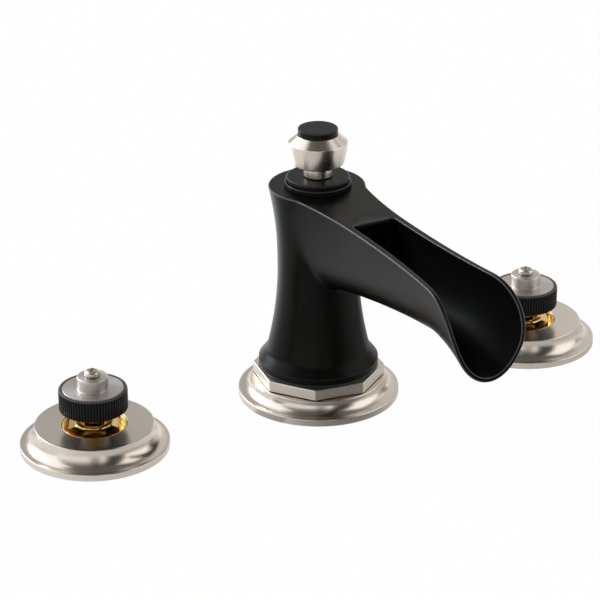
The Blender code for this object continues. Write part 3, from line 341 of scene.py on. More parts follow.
class Finish(Nodes):
    """A surface finish round one Principled shader, with places in millimetres from the axis at x."""

    def __init__(self, name, x=0, **constants):
        self.material = bpy.data.materials.new(name)
        self.material.use_nodes = True
        super().__init__(self.material.node_tree)
        self.shader = self.tree.nodes["Principled BSDF"]
        for socket, value in constants.items():
            self.set(socket.replace("_", " "), value)
        coordinates = self.add("ShaderNodeTexCoord", {}, 3)
        self.place = self.add("ShaderNodeMapping", {
            "Vector": coordinates, "Scale": (1000, 1000, 1000), "Location": (-x, 0, 0)})
        self.edge = self.attribute("edge")

    def attribute(self, name):
        return self.add("ShaderNodeAttribute", {}, 2, attribute_name=name)

    def set(self, name, value):
        self.put(self.shader.inputs[name], value)

    def relief(self, height, depth):
        """Bump from a height of 0 to 1 that stands for a depth in millimetres."""
        self.set("Normal", self.add("ShaderNodeBump", {"Height": height, "Distance": depth * MM}))

    def lines(self, along, across):
        """Four-dimensional noise, slow in the vector along the lines and quick across them."""
        return self.add("ShaderNodeTexNoise", {
            "Vector": along, "W": across, "Scale": 1.0, "Detail": 3.0, "Roughness": 0.65},
            noise_dimensions="4D")

    def turned_marks(self, spacing, length):
        """Fine lines round the upright axis, as a lathe or a spinning brush leaves them."""
        x, y, z = self.split(self.place)
        radius = (x * x + y * y) ** 0.5
        round_x, round_y = x / (radius + 0.01), y / (radius + 0.01)
        ring = self.add("ShaderNodeCombineXYZ", {0: round_x * length, 1: round_y * length, 2: z / spacing})
        return self.lines(ring, radius / spacing)

    def straight_marks(self, spacing, length):
        """Fine level lines along flat upright faces, running as rings on the level ones."""
        x, y, z = self.split(self.place)
        radius = (x * x + y * y) ** 0.5
        level = self.split(self.add("ShaderNodeTexCoord", {}, 1))[2] ** 2
        plane = self.add("ShaderNodeCombineXYZ", {0: x / length, 1: y / length, 2: z / spacing})
        return self.lines(plane, radius * level / spacing)


def times(colour, share):
    """A colour made darker or paler, with its alpha at 1."""
    return (*[part * share for part in colour[:3]], 1)


def satin_black(name, x=0, roughness=0.3, edge_wear_and_highlight=0.26, painted_sheen_above=None):
    """Sprayed satin coat: faint cloudiness, fine orange peel, and outer edges rubbed towards bare metal.

    Where a mesh has the attribute "inside" the coat is rougher and painted nearly black, a painted shade in
    the hollow. The rubbed outer edges also stand as a painted highlight along them. Above the height given as
    the last argument, in millimetres, it has a paler brown cast, blotched with the cloudiness: a painted
    sheen on the top.
    """
    deep, coal, hollow = (0.0020, 0.0019, 0.0017, 1), (0.0040, 0.0039, 0.0037, 1), (0.0004, 0.0004, 0.0004, 1)
    painted_sheen_brown, bare = (0.095, 0.08, 0.075, 1), (0.34, 0.34, 0.36, 1)
    coat = Finish(name, x, Specular_IOR_Level=0.1)
    cloud, peel, fine = coat.noise(0.09, 3), coat.noise(2.6, 3, 0.6), coat.noise(9.0, 2, 0.6)
    dull = coat.attribute("inside")
    # Rubbed outer edges: edge wear, and also a painted highlight along the rims and edges
    rubbed = (coat.edge * (0.75 + 0.5 * coat.noise(0.5, 4))).rise(0.15, 0.85)
    black = coat.mixed(cloud * (1 - dull), deep, coal)
    # In the channel and the tunnel the coat is painted nearly black: painted shade in the hollow
    black = coat.mixed(dull * 0.8, black, hollow)
    # Above the given height the coat is painted a paler brown: a painted sheen on the top
    if painted_sheen_above is not None:
        pale = coat.split(coat.place)[2].rise(painted_sheen_above, painted_sheen_above + 0.6)
        black = coat.mixed(pale * (0.8 + 0.4 * cloud), black, painted_sheen_brown)
    coat.set("Base Color", coat.mixed(rubbed * edge_wear_and_highlight, black, bare))
    coat.set("Metallic", rubbed * edge_wear_and_highlight)
    coat.set("Roughness", roughness - 0.05 + 0.08 * peel + 0.04 * cloud - 0.08 * rubbed + 0.14 * dull)
    coat.relief(peel * 0.7 + fine * 0.3, 0.004)
    return coat.material


def brushed_nickel(name, x=0, colour=(0.71, 0.645, 0.57), roughness=0.22, along=0.55, straight=False,
                   depth=0.00015):
    """Nickel plate with brushed lines, slow smudges, and paler, duller outer edges."""
    bare = (0.76, 0.71, 0.65, 1)
    plate = Finish(name, x, Metallic=1.0, Anisotropic=along, Anisotropic_Rotation=0.25)
    if straight:
        lines, broad = plate.straight_marks(0.16, 9.0), plate.straight_marks(0.5, 14.0)
    else:
        lines, broad = plate.turned_marks(0.16, 2.5), plate.turned_marks(0.5, 1.6)
    smudge = plate.noise(0.07, 3)
    worn = plate.edge.rise(0.1, 0.8)
    tone = (0.35 * broad + 0.65 * lines).rise(0.2, 0.8)
    body = plate.mixed(tone * 0.6 + smudge * 0.4, times(colour, 0.93), times(colour, 1.06))
    plate.set("Base Color", plate.mixed(worn * 0.6, body, bare))
    plate.set("Roughness", roughness - 0.06 + 0.1 * lines + 0.06 * smudge + 0.05 * worn)
    plate.relief(lines * 0.6 + broad * 0.4, depth)
    return plate.material


def polished_brass(name, x=0):
    """Machined brass: faint turning marks, warmer and duller in hollows."""
    yellow, red = (0.85, 0.60, 0.22, 1), (0.629, 0.36, 0.0924, 1)
    brass = Finish(name, x, Metallic=1.0)
    lines = brass.turned_marks(0.3, 2.0)
    stain = brass.noise(0.22, 4)
    hollow = (0 - brass.edge).rise(0.02, 0.5)
    dull = (0.5 * stain.rise(0.45, 0.75) + 0.6 * hollow).within()
    brass.set("Base Color", brass.mixed(dull, yellow, red))
    brass.set("Roughness", 0.08 + 0.09 * lines + 0.12 * dull)
    brass.relief(lines, 0.0008)
    return brass.material


def plain_steel(name, x=0, colour=(0.62, 0.58, 0.52), roughness=0.24):
    """Steel or plated screw stock: turning marks, grey stains and bright rubbed edges."""
    rubbed = (0.8, 0.74, 0.66, 1)
    steel = Finish(name, x, Metallic=1.0)
    lines = steel.turned_marks(0.22, 2.0)
    stain = steel.noise(0.5, 4).rise(0.4, 0.75)
    bright = steel.edge.rise(0.1, 0.8)
    grey = steel.mixed(stain, times(colour, 1), times(colour, 0.72))
    steel.set("Base Color", steel.mixed(bright * 0.3, grey, rubbed))
    steel.set("Roughness", roughness - 0.05 + 0.1 * lines + 0.08 * stain)
    steel.relief(lines, 0.0003)
    return steel.material


def moulded_rubber(name, x=0):
    """Black rubber with a dusty bloom in patches and a fine moulded grain."""
    black, dusty = (0.016, 0.016, 0.017, 1), (0.04, 0.039, 0.037, 1)
    rubber = Finish(name, x, Specular_IOR_Level=0.3)
    grain, bloom = rubber.noise(4.0, 3), rubber.noise(0.2, 4)
    rubber.set("Base Color", rubber.mixed(bloom.rise(0.35, 0.8), black, dusty))
    rubber.set("Roughness", 0.62 + 0.2 * grain)
    rubber.relief(grain, 0.03)
    return rubber.material


def lapped_ceramic(name, x=0):
    """Off-white ceramic, mottled, with faint lapping circles."""
    pale, grey = (0.86, 0.84, 0.79, 1), (0.76, 0.74, 0.7, 1)
    ceramic = Finish(name, x)
    cloud, lines = ceramic.noise(0.4, 3), ceramic.turned_marks(0.3, 3.0)
    ceramic.set("Base Color", ceramic.mixed(cloud, pale, grey))
    ceramic.set("Roughness", 0.14 + 0.14 * lines)
    ceramic.relief(lines, 0.002)
    return ceramic.material


# Spout body

def column_radius(z):
    """Foot band, sloping shoulder with a crisp lower edge, bell narrowing to the waist and flaring.

    Above the band R is the smooth greater of a slightly crowned slope and the bell's two power laws.
    """
    foot, shoulder, shoulder_top, waist, top = 24.6, 21.1, 21.2, 16.5, 19.6
    up = (z - FOOT_TOP) / (shoulder_top - FOOT_TOP)
    slope = foot - (foot - shoulder) * (0.9 * up + 0.22 * up ** 2)
    lower = np.clip((WAIST - z) / (WAIST - shoulder_top), 0, None)
    upper = np.clip((z - WAIST) / (HEIGHT - WAIST), 0, None)
    bell = waist + (shoulder - waist) * lower ** 1.9 + (top - waist) * upper ** 2.5
    soft = 0.9 * ease((z - FOOT_TOP) / 2.5)
    above = (slope + bell + np.sqrt((slope - bell) ** 2 + soft ** 2)) / 2
    radius = np.where(z < FOOT_TOP, foot, np.where(up < 4, above, bell))
    bevel = np.clip(BASE + FOOT_ROUND - z, 0, FOOT_ROUND)
    return radius - (FOOT_ROUND - np.sqrt(FOOT_ROUND ** 2 - bevel ** 2))


def arm_half(reach):
    """Half-width at the rim: narrowest at the neck, with a power law to the root and to the mouth."""
    reach = np.maximum(reach, ARM_START)
    back = np.clip((NECK_REACH - reach) / (NECK_REACH - ROOT_FLARE_REACH), 0, None) ** 2.2
    front = np.clip((reach - NECK_REACH) / (REACH - NECK_REACH), 0, None) ** 2.4
    return NECK_HALF + (ROOT_HALF - NECK_HALF) * back + (MOUTH_HALF - NECK_HALF) * front


def crest_fall(reach):
    """Share of the way from the crest to the lip, 0 before the crest."""
    return np.clip((reach - CREST_REACH) / (REACH - CREST_REACH), 0, None)


def underside(reach):
    """Rising belly with a bulge, then a parabola down to the lip past the crest."""
    share = np.minimum(1, (reach - ROOT_REACH) / (CREST_REACH - ROOT_REACH))
    return ROOT + (CREST - ROOT) * share * (1 + 0.36 * (1 - share)) - (CREST - LIP) * crest_fall(reach) ** 2


def section(half, depth):
    """Square of a superelliptic section's half-width at a depth share; negative past its bottom."""
    inside = 1 - np.abs(depth) ** SECTION_POWER
    return half ** 2 * np.sign(inside) * np.abs(inside) ** (2 / SECTION_POWER)


def body_square(reach, z):
    """Square of the body's half-width in the side view, negative outside.

    It is the smooth greater of the column's R(z)^2 - reach^2 and the arm's section; the smoothing
    also makes the fillet under the arm. Towards the top the column's centre moves back by a
    millimetre.
    """
    column = column_radius(z) ** 2 - (reach + ease((z - 68) / 24)) ** 2
    arm = section(arm_half(reach), (HEIGHT - z) / (HEIGHT - underside(reach)))
    arm = arm - np.clip(ARM_START - reach, 0, None) ** 2
    soft = 50 - 28 * ease((z - 62) / 28)
    return (column + arm + np.sqrt((column - arm) ** 2 + soft ** 2)) / 2


def channel_half(reach):
    """Half-width of the channel at the rim: the arm's less a wall that thins towards the mouth."""
    share = (reach - CHANNEL_START) / (REACH - CHANNEL_START)
    return arm_half(reach) - (CHANNEL_WALL + (MOUTH_WALL - CHANNEL_WALL) * share)


def channel_floor(reach):
    """Height of the channel's floor: straight to the crest, then a parabola down to the lip."""
    share = np.minimum(1, (reach - CHANNEL_START) / (CREST_REACH - CHANNEL_START))
    depth = CHANNEL_DEPTH + (CREST_DEPTH - CHANNEL_DEPTH) * share
    return HEIGHT - depth - (HEIGHT - LIP - LIP_WALL - CREST_DEPTH) * crest_fall(reach) ** 2


def channel_square(reach, z):
    """Square of the channel's half-width, from the same kind of superelliptic section."""
    return section(channel_half(reach), (HEIGHT - z) / (HEIGHT - channel_floor(reach)))


def top_line(length):
    """Point and outward normal at a length along the top: flat, round brow, leaning face to the lip."""
    brow_start = REACH - FACE_LEAN - BROW
    flat = length < brow_start
    angle = np.clip((length - brow_start) / BROW, 0, HALF)
    face = np.clip(length - brow_start - BROW * HALF, 0, None)
    face_length = math.hypot(FACE_LEAN, HEIGHT - BROW - LIP)
    lean_r, lean_z = FACE_LEAN / face_length, (HEIGHT - BROW - LIP) / face_length
    reach = np.where(flat, length, brow_start + BROW * np.sin(angle) + face * lean_r)
    z = np.where(flat, HEIGHT, HEIGHT - BROW + BROW * np.cos(angle) - face * lean_z)
    turn = np.where(face > 0, math.atan2(lean_r, lean_z), HALF - angle)
    return reach, z, np.cos(turn), np.sin(turn)


def rooted(function, inner, outer):
    """Point between an inner and an outer one where a function crosses zero, by halving, for arrays."""
    low, high = np.zeros(inner.shape[0]), np.ones(inner.shape[0])
    for _ in range(48):
        middle = (low + high) / 2
        at = inner + (outer - inner) * middle[:, None]
        positive = function(at[:, 0], at[:, 1]) > 0
        low, high = np.where(positive, middle, low), np.where(positive, high, middle)
    return inner + (outer - inner) * low[:, None]


def rim_end(square, start, end, edge):
    """Length along the top line where the line set in by the edge radius meets half-width zero."""
    for _ in range(60):
        middle = (start + end) / 2
        reach, z, out_r, out_z = top_line(middle)
        inside = square(reach - edge * out_r, z - edge * out_z) > 0
        start, end = (middle, end) if inside else (start, middle)
    return start


def rim_edge(square, lengths, edge):
    """Sharp rim edge over a top line: points, outward normals and inward directions on the face.

    The half-width is taken at the line set in by the edge radius, and the inward direction is
    square to the edge's own run and to the normal.
    """
    reach, z, out_r, out_z = top_line(lengths)
    half = np.sqrt(np.clip(square(reach - edge * out_r, z - edge * out_z), 0, None))
    half[[0, -1]] = np.where(half[[0, -1]] < 0.02, 0, half[[0, -1]])
    points = stacked(half, -reach, z)
    normals = stacked(0.0, -out_r, out_z)
    run = np.gradient(points, axis=0)
    run /= np.linalg.norm(run, axis=1, keepdims=True)
    inward = np.cross(run, normals)
    inward /= np.linalg.norm(inward, axis=1, keepdims=True)
    return points, normals, inward


def arc_strip(points, normals, inward, radius, steps=5):
    """Quarter-round edge as (steps + 1, n, 3), from the side up to the face.

    A point is centre + radius * (normal * sin a - inward * cos a).
    """
    angles = np.linspace(0, HALF, steps + 1)[:, None, None]
    return points + radius * (inward - normals + normals * np.sin(angles) - inward * np.cos(angles))


def make_spout():
    """Body skin, with the point attribute "inside" at 1 in the channel and the tunnel.

    There the tunnel's attribute "edge" is 0, so that its coat gets no rubbed edge wear and no painted edge
    highlight. Where "inside" is 1 the coat is painted darker as shade.
    """
    edge, inner_edge = 0.5, 0.4
    lip_length = rim_end(body_square, 40, 160, edge)
    top_start = rim_end(body_square, 0, -30, edge)
    # Lengths along the rim: even on the flat, closer at the lip, where half-width goes as a square root
    rear = np.concatenate([top_start * np.cos(np.linspace(0, HALF, 26)),
                           np.linspace(0, CHANNEL_START, 34)[1:]])
    forward = CHANNEL_START + (lip_length - CHANNEL_START) * closer_at_end(120)
    lengths = np.concatenate([rear, forward])
    points, normals, inward = rim_edge(body_square, lengths, edge)
    inward[0], inward[-1] = (0, -1, 0), (0, 0, 1)
    outer_rim = arc_strip(points, normals, inward, edge)
    # Side surface: straight lines in the side view from the under line to the rim or to the back.
    # From the height fan_z to the reach fan_reach they fan out round the corner under the arm
    bell_low, fan_z, fan_reach, fan_corner = 25.0, 46.0, 30.0, 18.5
    side_top = outer_rim[0][:, 1:] * [-1, 1]
    heights = np.concatenate([BASE + FOOT_ROUND * (1 - np.cos(np.linspace(0, HALF, 5))),
                              np.linspace(BASE + FOOT_ROUND, FOOT_TOP, 5)[1:],
                              np.linspace(FOOT_TOP, bell_low, 28)[1:],
                              np.linspace(bell_low, fan_z, 30)[1:]])
    climb = np.linspace(fan_z, HEIGHT - edge, 40)[1:-1]
    back_high = stacked(-column_radius(climb), climb)
    behind_fan = side_top[:, 0] < fan_reach
    fan = np.linspace(0, 1, len(back_high) + np.count_nonzero(behind_fan) + 1)[1:]
    climb_target = stacked(fan_corner + (fan_reach - fan_corner) * fan ** 1.5,
                           fan_z + (underside(fan_reach) - fan_z) * (1 - (1 - fan) ** 1.6))
    spine = np.concatenate([back_high, side_top[behind_fan]]) * 0.6 + climb_target * 0.4
    under_fan = rooted(body_square, spine, climb_target + (climb_target - spine) * 0.9)
    arm_top = side_top[~behind_fan]
    travelled = np.concatenate([[0], np.cumsum(np.linalg.norm(np.diff(arm_top, axis=0), axis=1))])
    end_reach = arm_top[-1, 0]
    reach_share = (arm_top[:, 0] - fan_reach) / (end_reach - fan_reach)
    first = under_fan[-1, 0] + 0.5
    even = first + (end_reach - first) * (travelled / travelled[-1] * 0.75 + 0.25 * reach_share)
    belly = underside(even)
    probe = stacked(even, np.minimum(belly + 3, arm_top[:, 1] - 0.001))
    inside = body_square(even, probe[:, 1]) > 0
    under_arm = np.where(inside[:, None], rooted(body_square, probe, stacked(even, belly - 4)), arm_top)
    back_low, back_fan_low, front_low = [
        rooted(body_square, line * [0.5, 1], line * [1.3, 1])
        for line in (stacked(-column_radius(heights), heights), back_high,
                     stacked(column_radius(heights), heights))]
    over = np.concatenate([back_low, back_fan_low, side_top])
    under = np.concatenate([front_low, under_fan, under_arm])
    plane = under[:, None] + (over - under)[:, None] * closer_at_both(61)[:, None]
    half = np.sqrt(np.clip(body_square(plane[..., 0], plane[..., 1]), 0, None))
    closing = len(back_low) + len(back_fan_low)
    half[:, 0] = 0
    half[:closing, -1] = 0
    half[closing:, -1] = outer_rim[0][:, 0]
    half[-1] = 0
    side = grid(stacked(half, -plane[..., 0], plane[..., 1]))
    foot = side[0][0]
    bottom = grid(np.stack([foot, foot * [0, 1, 1]]), flip=True)
    # Channel edge: its rear end is a straight edge with small round corners
    corner = 1.8
    corner_end = CHANNEL_START + corner
    channel_lip = rim_end(channel_square, 60, 160, inner_edge)
    side_lengths = corner_end + (channel_lip - corner_end) * closer_at_end(120)
    rim_points, rim_normals, rim_inward = rim_edge(channel_square, side_lengths, inner_edge)
    rim_inward[-1] = (0, 0, 1)
    straight_half = math.sqrt(channel_square(corner_end, HEIGHT - inner_edge))
    bend = np.linspace(0, HALF, 9)[1:]
    rear_edge = stacked(np.linspace(0, straight_half - corner, len(rear) - len(bend)), -CHANNEL_START, HEIGHT)
    bend_edge = stacked(straight_half - corner + corner * np.sin(bend),
                        -corner_end + corner * np.cos(bend), HEIGHT)
    rear_points = np.concatenate([rear_edge, bend_edge])
    rear_inward = [0 * rear_edge + [0, -1, 0], -stacked(np.sin(bend), np.cos(bend), 0)]
    channel_rim = arc_strip(np.concatenate([rear_points, rim_points]),
                            np.concatenate([0 * rear_points + [0, 0, 1], rim_normals]),
                            -np.concatenate([*rear_inward, rim_inward]), inner_edge)[::-1]
    # Top face: behind the channel its lines run straight in from the rim before they turn forward
    strip_share = np.array([0, 0.03, 0.12, 0.25, 0.38, 0.5, 0.6, 0.7, 0.78, 0.85, 0.91, 0.96, 1])[:, None]
    late = np.ones(len(lengths))
    late[:len(rear)] = 1 + 4 * (1 - ease((rear - fan_reach) / (CHANNEL_START - fan_reach)))
    strip_part = stacked(strip_share, strip_share ** late, strip_share)
    face = grid(outer_rim[-1] + (channel_rim[0] - outer_rim[-1]) * strip_part)
    # Channel surface: from its edge down to the middle of the floor
    deep = channel_rim[-1]
    deep_plane = deep[:, 1:] * [-1, 1]
    rear_count = len(rear_points)
    bend_end = CHANNEL_START + corner / 2
    floor_share = np.linspace(0, 1, len(side_lengths) + 1)[1:] ** 0.9
    floor_reach = np.concatenate([np.full(len(rear_edge), CHANNEL_START),
                                  np.linspace(CHANNEL_START, bend_end, len(bend) + 1)[1:],
                                  bend_end + (deep_plane[-1, 0] - bend_end) * floor_share])
    floor_line = stacked(floor_reach, channel_floor(floor_reach))
    floor_line[-1] = deep_plane[-1]
    plane = deep_plane[:, None] + (floor_line - deep_plane)[:, None] * closer_at_both(41)[:, None]
    reach, z = plane[..., 0], plane[..., 1]
    width = np.sqrt(np.clip(channel_square(np.maximum(reach, CHANNEL_START), z), 0, None))
    width[:rear_count] *= (deep[:rear_count, 0] / width[:rear_count, 0])[:, None]
    width[:, -1] = 0
    width[:, 0] = deep[:, 0]
    width[-1] = 0
    bowl = stacked(width, -reach, z)
    # Rear wall: rings from its outline in to the water tunnel, then back along the tunnel, whose mouth
    # is |x / half-width|^power + |z / rise|^power = 1
    power, bevel = 2.3, 0.4
    turn_row = len(rear_edge) - 1
    outline = np.concatenate([deep[:turn_row + 1], bowl[turn_row, 1:]])
    angle = np.arctan2(outline[:, 0], outline[:, 2] - TUNNEL_HEIGHT)
    across, up = np.sin(angle), np.cos(angle)
    size = (np.abs(across / TUNNEL_HALF) ** power + np.abs(up / TUNNEL_RISE) ** power) ** (-1 / power)
    mouth = stacked(across * size, -CHANNEL_START, TUNNEL_HEIGHT + up * size)
    rings = [outline + (mouth * [1.09, 1, 1] - outline) * step for step in (0, 0.3, 0.6, 0.88)]
    centre = np.array([0, -CHANNEL_START, TUNNEL_HEIGHT])
    rings += [centre + (mouth - centre) * [grow, 0, grow] + [0, back, 0] for grow, back in (
        (1.06, 0), (1.018, 0.12 * bevel), (1, bevel), (1, 14), (1, TUNNEL_LENGTH), (0, TUNNEL_LENGTH))]
    wall = grid(np.stack(rings))
    halves = [side, bottom, grid(outer_rim), face, grid(channel_rim), grid(bowl[turn_row:], flip=True), wall]
    made = piece("spout_body_skin", halves + [mirrored(part) for part in halves], sharp=36)
    x, reach, z = (values_of(made.data.vertices, "co", 3) / MM * [1, -1, 1]).T
    channel = reach > CHANNEL_START - 0.01
    channel &= channel_square(np.maximum(reach, CHANNEL_START), z) - x ** 2 > -1
    tunnel = (reach <= CHANNEL_START + 0.01) & (np.abs(x) < TUNNEL_HALF * 1.1)
    tunnel &= np.abs(z - TUNNEL_HEIGHT) < TUNNEL_RISE * 1.3
    set_values(made.data.attributes.new("inside", "FLOAT", "POINT"), channel | tunnel)
    marks = made.data.attributes["edge"]
    set_values(marks, np.where(tunnel, 0, values_of(marks.data, "value", 1, np.float32)[:, 0]))
    return made


# Turned trim

def make_flange(name, radius, band_top, height, plate, hole, x, under_neck):
    """Skirt with a rounded top edge, elliptic cove up to a flat plate, hollow from below."""
    bead, drop, skirt, low, inner = 0.75, 0.9, 1.0, 0.4, 1.5
    cove = quarter((radius - bead, height - drop), radius - bead - plate, height - drop - band_top,
                   math.pi, 1.5 * math.pi, 26)
    foot = radius - 7.3
    corners = [
        (hole, height, 0.25), (plate, height, 0.35), (cove[0][0], cove[0][1] + 0.02, 0), *cove[1:-1],
        (radius - bead, band_top, 0), (radius, band_top, 0.45), (radius, low, 0.3),
        (radius - skirt, low, 0.2), (radius - skirt, inner, 0.1), (foot, inner, 0.1),
        (foot, band_top - 0.4, 0.5), (plate - 2.2, height - 1.8, 0.5), *under_neck,
    ]
    return piece(name, [turned(corners, 160, x)])


def valve_flange(side, x):
    """Valve end's flange, with a short neck under its hole."""
    hole = 11.6 / math.cos(HALF_FLAT) + 0.6
    neck, neck_low = hole + 1.8, 6.2
    under = [(neck, 8.8, 0.3), (neck, neck_low, 0.2), (hole, neck_low, 0.2)]
    return make_flange(side + "_flange_trim", 29.9, 3.25, 10.6, 23.8, hole, x, under)


def octagon(apothem, corner, turn):
    """Outline points of a regular octagon, its corners rounded to the given radius."""
    centre_angle = (turn + HALF_FLAT + TURN / 8 * np.arange(8))[:, None]
    around = centre_angle + np.linspace(-HALF_FLAT, HALF_FLAT, 7)
    out = (apothem - corner) / math.cos(HALF_FLAT)
    return stacked(out * np.cos(centre_angle) + corner * np.cos(around),
                   out * np.sin(centre_angle) + corner * np.sin(around)).reshape(-1, 2)


def make_octagon():
    """Eight-sided ring: outlines set in along a rounded edge profile at the top and the bottom."""
    bottom, top, edge, apothem, corner = 9.05, 13.45, 0.45, 25.1, 0.9
    turn = -HALF + math.radians(-9)
    profile = [(2.0, bottom), (0.15, bottom), (0, bottom + 0.15), (0, top - edge - 0.1)]
    profile += [(edge * (1 - math.cos(a)), top - edge + edge * math.sin(a)) for a in np.linspace(0, HALF, 6)]
    profile += [(edge + 0.1, top), (6.0, top)]
    rings = [stacked(*octagon(apothem - inset, max(corner - inset, 0.02), turn).T, z) for inset, z in profile]
    around = np.arctan2(rings[0][:, 1], rings[0][:, 0])
    hole = FLANGE_HOLE * stacked(np.cos(around), np.sin(around))
    low, high = [stacked(*hole.T, z) for z in (bottom, top)]
    return piece("octagon_trim", [grid(np.stack([low, *rings, high, low]), wrap=True)], sharp=30)


def make_collar():
    """Two steps with a groove between them, on a spigot that holds the upper seal."""
    upper, groove, lower, spigot, seal = 12.7, 12.1, 13.45, 6.2, 4.3
    base, step, top = HEIGHT + 0.3, HEIGHT + 2.15, HEIGHT + 4.2
    groove_top, end = step + 0.45, base - 4.6
    corners = [
        (ROD_BORE, top, 0.1), (upper, top, 0.55), (upper, groove_top, 0.1), (groove, groove_top, 0),
        (groove, step, 0), (lower, step, 0.55), (lower, base, 0.15), (spigot, base, 0), (spigot, end, 0.2),
        (seal, end, 0), (seal, HEIGHT, 0), (ROD_BORE, HEIGHT, 0),
    ]
    return piece("spout_collar_trim", [turned(corners)])


def make_knob():
    """Neck, cup with crowned leaning sides, cone up to a socket for the cap."""
    foot, waist = KNOB_BASE + 5, KNOB_BASE + 14.3
    top, hollow = waist + 3, foot + 7
    neck, socket = 5.85, 2.9
    side = [(10.35 + 1.6 * share + 0.3 * math.sin(math.pi * share), foot + 9.3 * share, 0)
            for share in np.linspace(0.14, 0.94, 9)]
    corners = [
        (ROD_BORE, KNOB_BASE, 0.1), (neck, KNOB_BASE, 0.25), (neck, foot - 0.1, 0.25), (10.3, foot, 0.95),
        *side, (11.95, waist, 0.45), (8.3, top, 0.3), (socket, top, 0), (socket, top - PEG_LENGTH, 0),
        (0, top - PEG_LENGTH, 0), (0, hollow, 0), (ROD_BORE, hollow, 0),
    ]
    return piece("lift_knob_trim", [turned(corners, arc_steps=8)])


def make_cap():
    """Flat button with a rounded upper edge on a short peg."""
    radius, peg, low = 8.05, 2.6, KNOB_BASE + 17.6
    high, end = low + 2.4, low - PEG_LENGTH
    corners = [(0, high, 0), (radius, high, 0.55), (radius, low, 0.15), (peg, low, 0), (peg, end, 0.2),
               (0, end, 0)]
    return piece("lift_knob_cap_trim", [turned(corners, 96)])


def make_hub(side, x):
    """Disc with a shank below it and a boss above it, which the screw's shaft passes."""
    bore, shank, disc, boss, hole = 3.5, 5.8, 12.2, 6.2, 1.9
    low, top, boss_top = 18.5, 26.4, 31.5
    under, bore_top = top - 2.6, boss_top - 1.6
    corners = [
        (bore, low, 0.2), (shank, low, 0.2), (shank, under, 0), (disc, under, 0), (disc, top, 0.3),
        (boss, top, 0.3), (boss, boss_top, 0.55), (hole, boss_top, 0.1), (hole, bore_top, 0),
        (bore, bore_top, 0),
    ]
    return piece(side + "_hub_trim", [turned(corners, x=x)])


def make_fluted_ring(side, x):
    """R(angle, height): the turned outline less a flute depth that fades out at the rounded top."""
    flutes, flute_depth = 72, 0.34
    steps = flutes * 8
    wave = np.cos(np.linspace(0, TURN, steps, endpoint=False) * flutes)
    groove = ease(0.5 - wave * 0.95) * flute_depth
    outside, bore, sleeve, edge = 13.7, 12.35, 9.0, 1.0
    low, under, top = 17.5, 23.5, 26.5
    outline = [(sleeve, low, 0), (13.3, low, 0.4), (13.62, low + 0.3, 1), (outside, low + 0.5, 1),
               (outside, top - edge - 0.5, 1), (outside, top - edge - 0.15, 0.85)]
    outline += [(outside - edge + edge * math.cos(a), top - edge + edge * math.sin(a),
                 0.75 * max(0.0, 1 - a / 0.5)) for a in np.linspace(0, HALF, 8)]
    outline += [(12.4, top, 0), (bore, top - 0.05, 0), (bore, under, 0), (sleeve, under, 0), (sleeve, low, 0)]
    radius, height, share = np.array(outline).T[:, :, None]
    return piece(side + "_fluted_ring_trim", [carried(radius - share * groove, height, x, steps)], sharp=50)


def make_bonnet(side, x):
    """Threaded cup with an eight-sided nut in it, whose hollow flare rises to the neck's rim.

    Inside the cup R is the softened lesser of the outline and eight flats. The flats stand upright
    at first. Up the flare they lie at the outline's radius times a share that grows from
    cos(pi / 8) to 1, so that eight ridges run up and fade at the rim.
    """
    steps = 192
    angles = np.linspace(0, TURN, steps, endpoint=False)
    bore, shank, cup, rim, shoulder, low, floor = 5.4, 9.9, 12.95, 10.4, 5.6, -2.0, 7.2
    flat, nut, neck, flare_low, flare_top = 10.1, 11.0, 7.3, 10.4, 11.75
    turned_angle = (angles - (-HALF + math.radians(18.3)) + HALF_FLAT) % (TURN / 8) - HALF_FLAT
    flare = quarter((nut, flare_top), nut - neck, flare_top - flare_low, 1.5 * math.pi, math.pi, 24)
    threads = [(r, 10.05 - 0.65 * turn - step, 0) for turn in range(4)
               for r, step in ((12.7, 0.0), (12.3, 0.2), (12.3, 0.3), (12.7, 0.5))]
    outline = rounded([
        (bore, low, 0), (shank, low, 0.2), (shank, shoulder, 0), (cup, shoulder, 0), (cup, rim, 0.15),
        (12.65, rim, 0.1), *threads, (12.5, floor, 0.2), (nut, floor, 0), *flare[:-1],
        (neck, flare_top, 0.15), (bore, flare_top, 0.3),
    ])
    outline = np.concatenate([outline, outline[:1]])
    radius, height = outline[:, :1], outline[:, 1:]
    up = np.clip((height - flare_low) / (flare_top - flare_low), 0, 1)
    corner_share = math.cos(HALF_FLAT)
    across = np.minimum(flat, radius * (corner_share + (1 - corner_share) * up ** 2)) / np.cos(turned_angle)
    soft = 0.1
    least = (radius + across - np.sqrt((radius - across) ** 2 + soft ** 2)) / 2
    in_cup = (radius < nut + 0.01) & (radius > neck - 0.2) & (height > floor - 0.01)
    radius = np.where(in_cup, least, radius)
    return piece(side + "_bonnet_trim", [carried(radius, height, x, steps)], sharp=35)


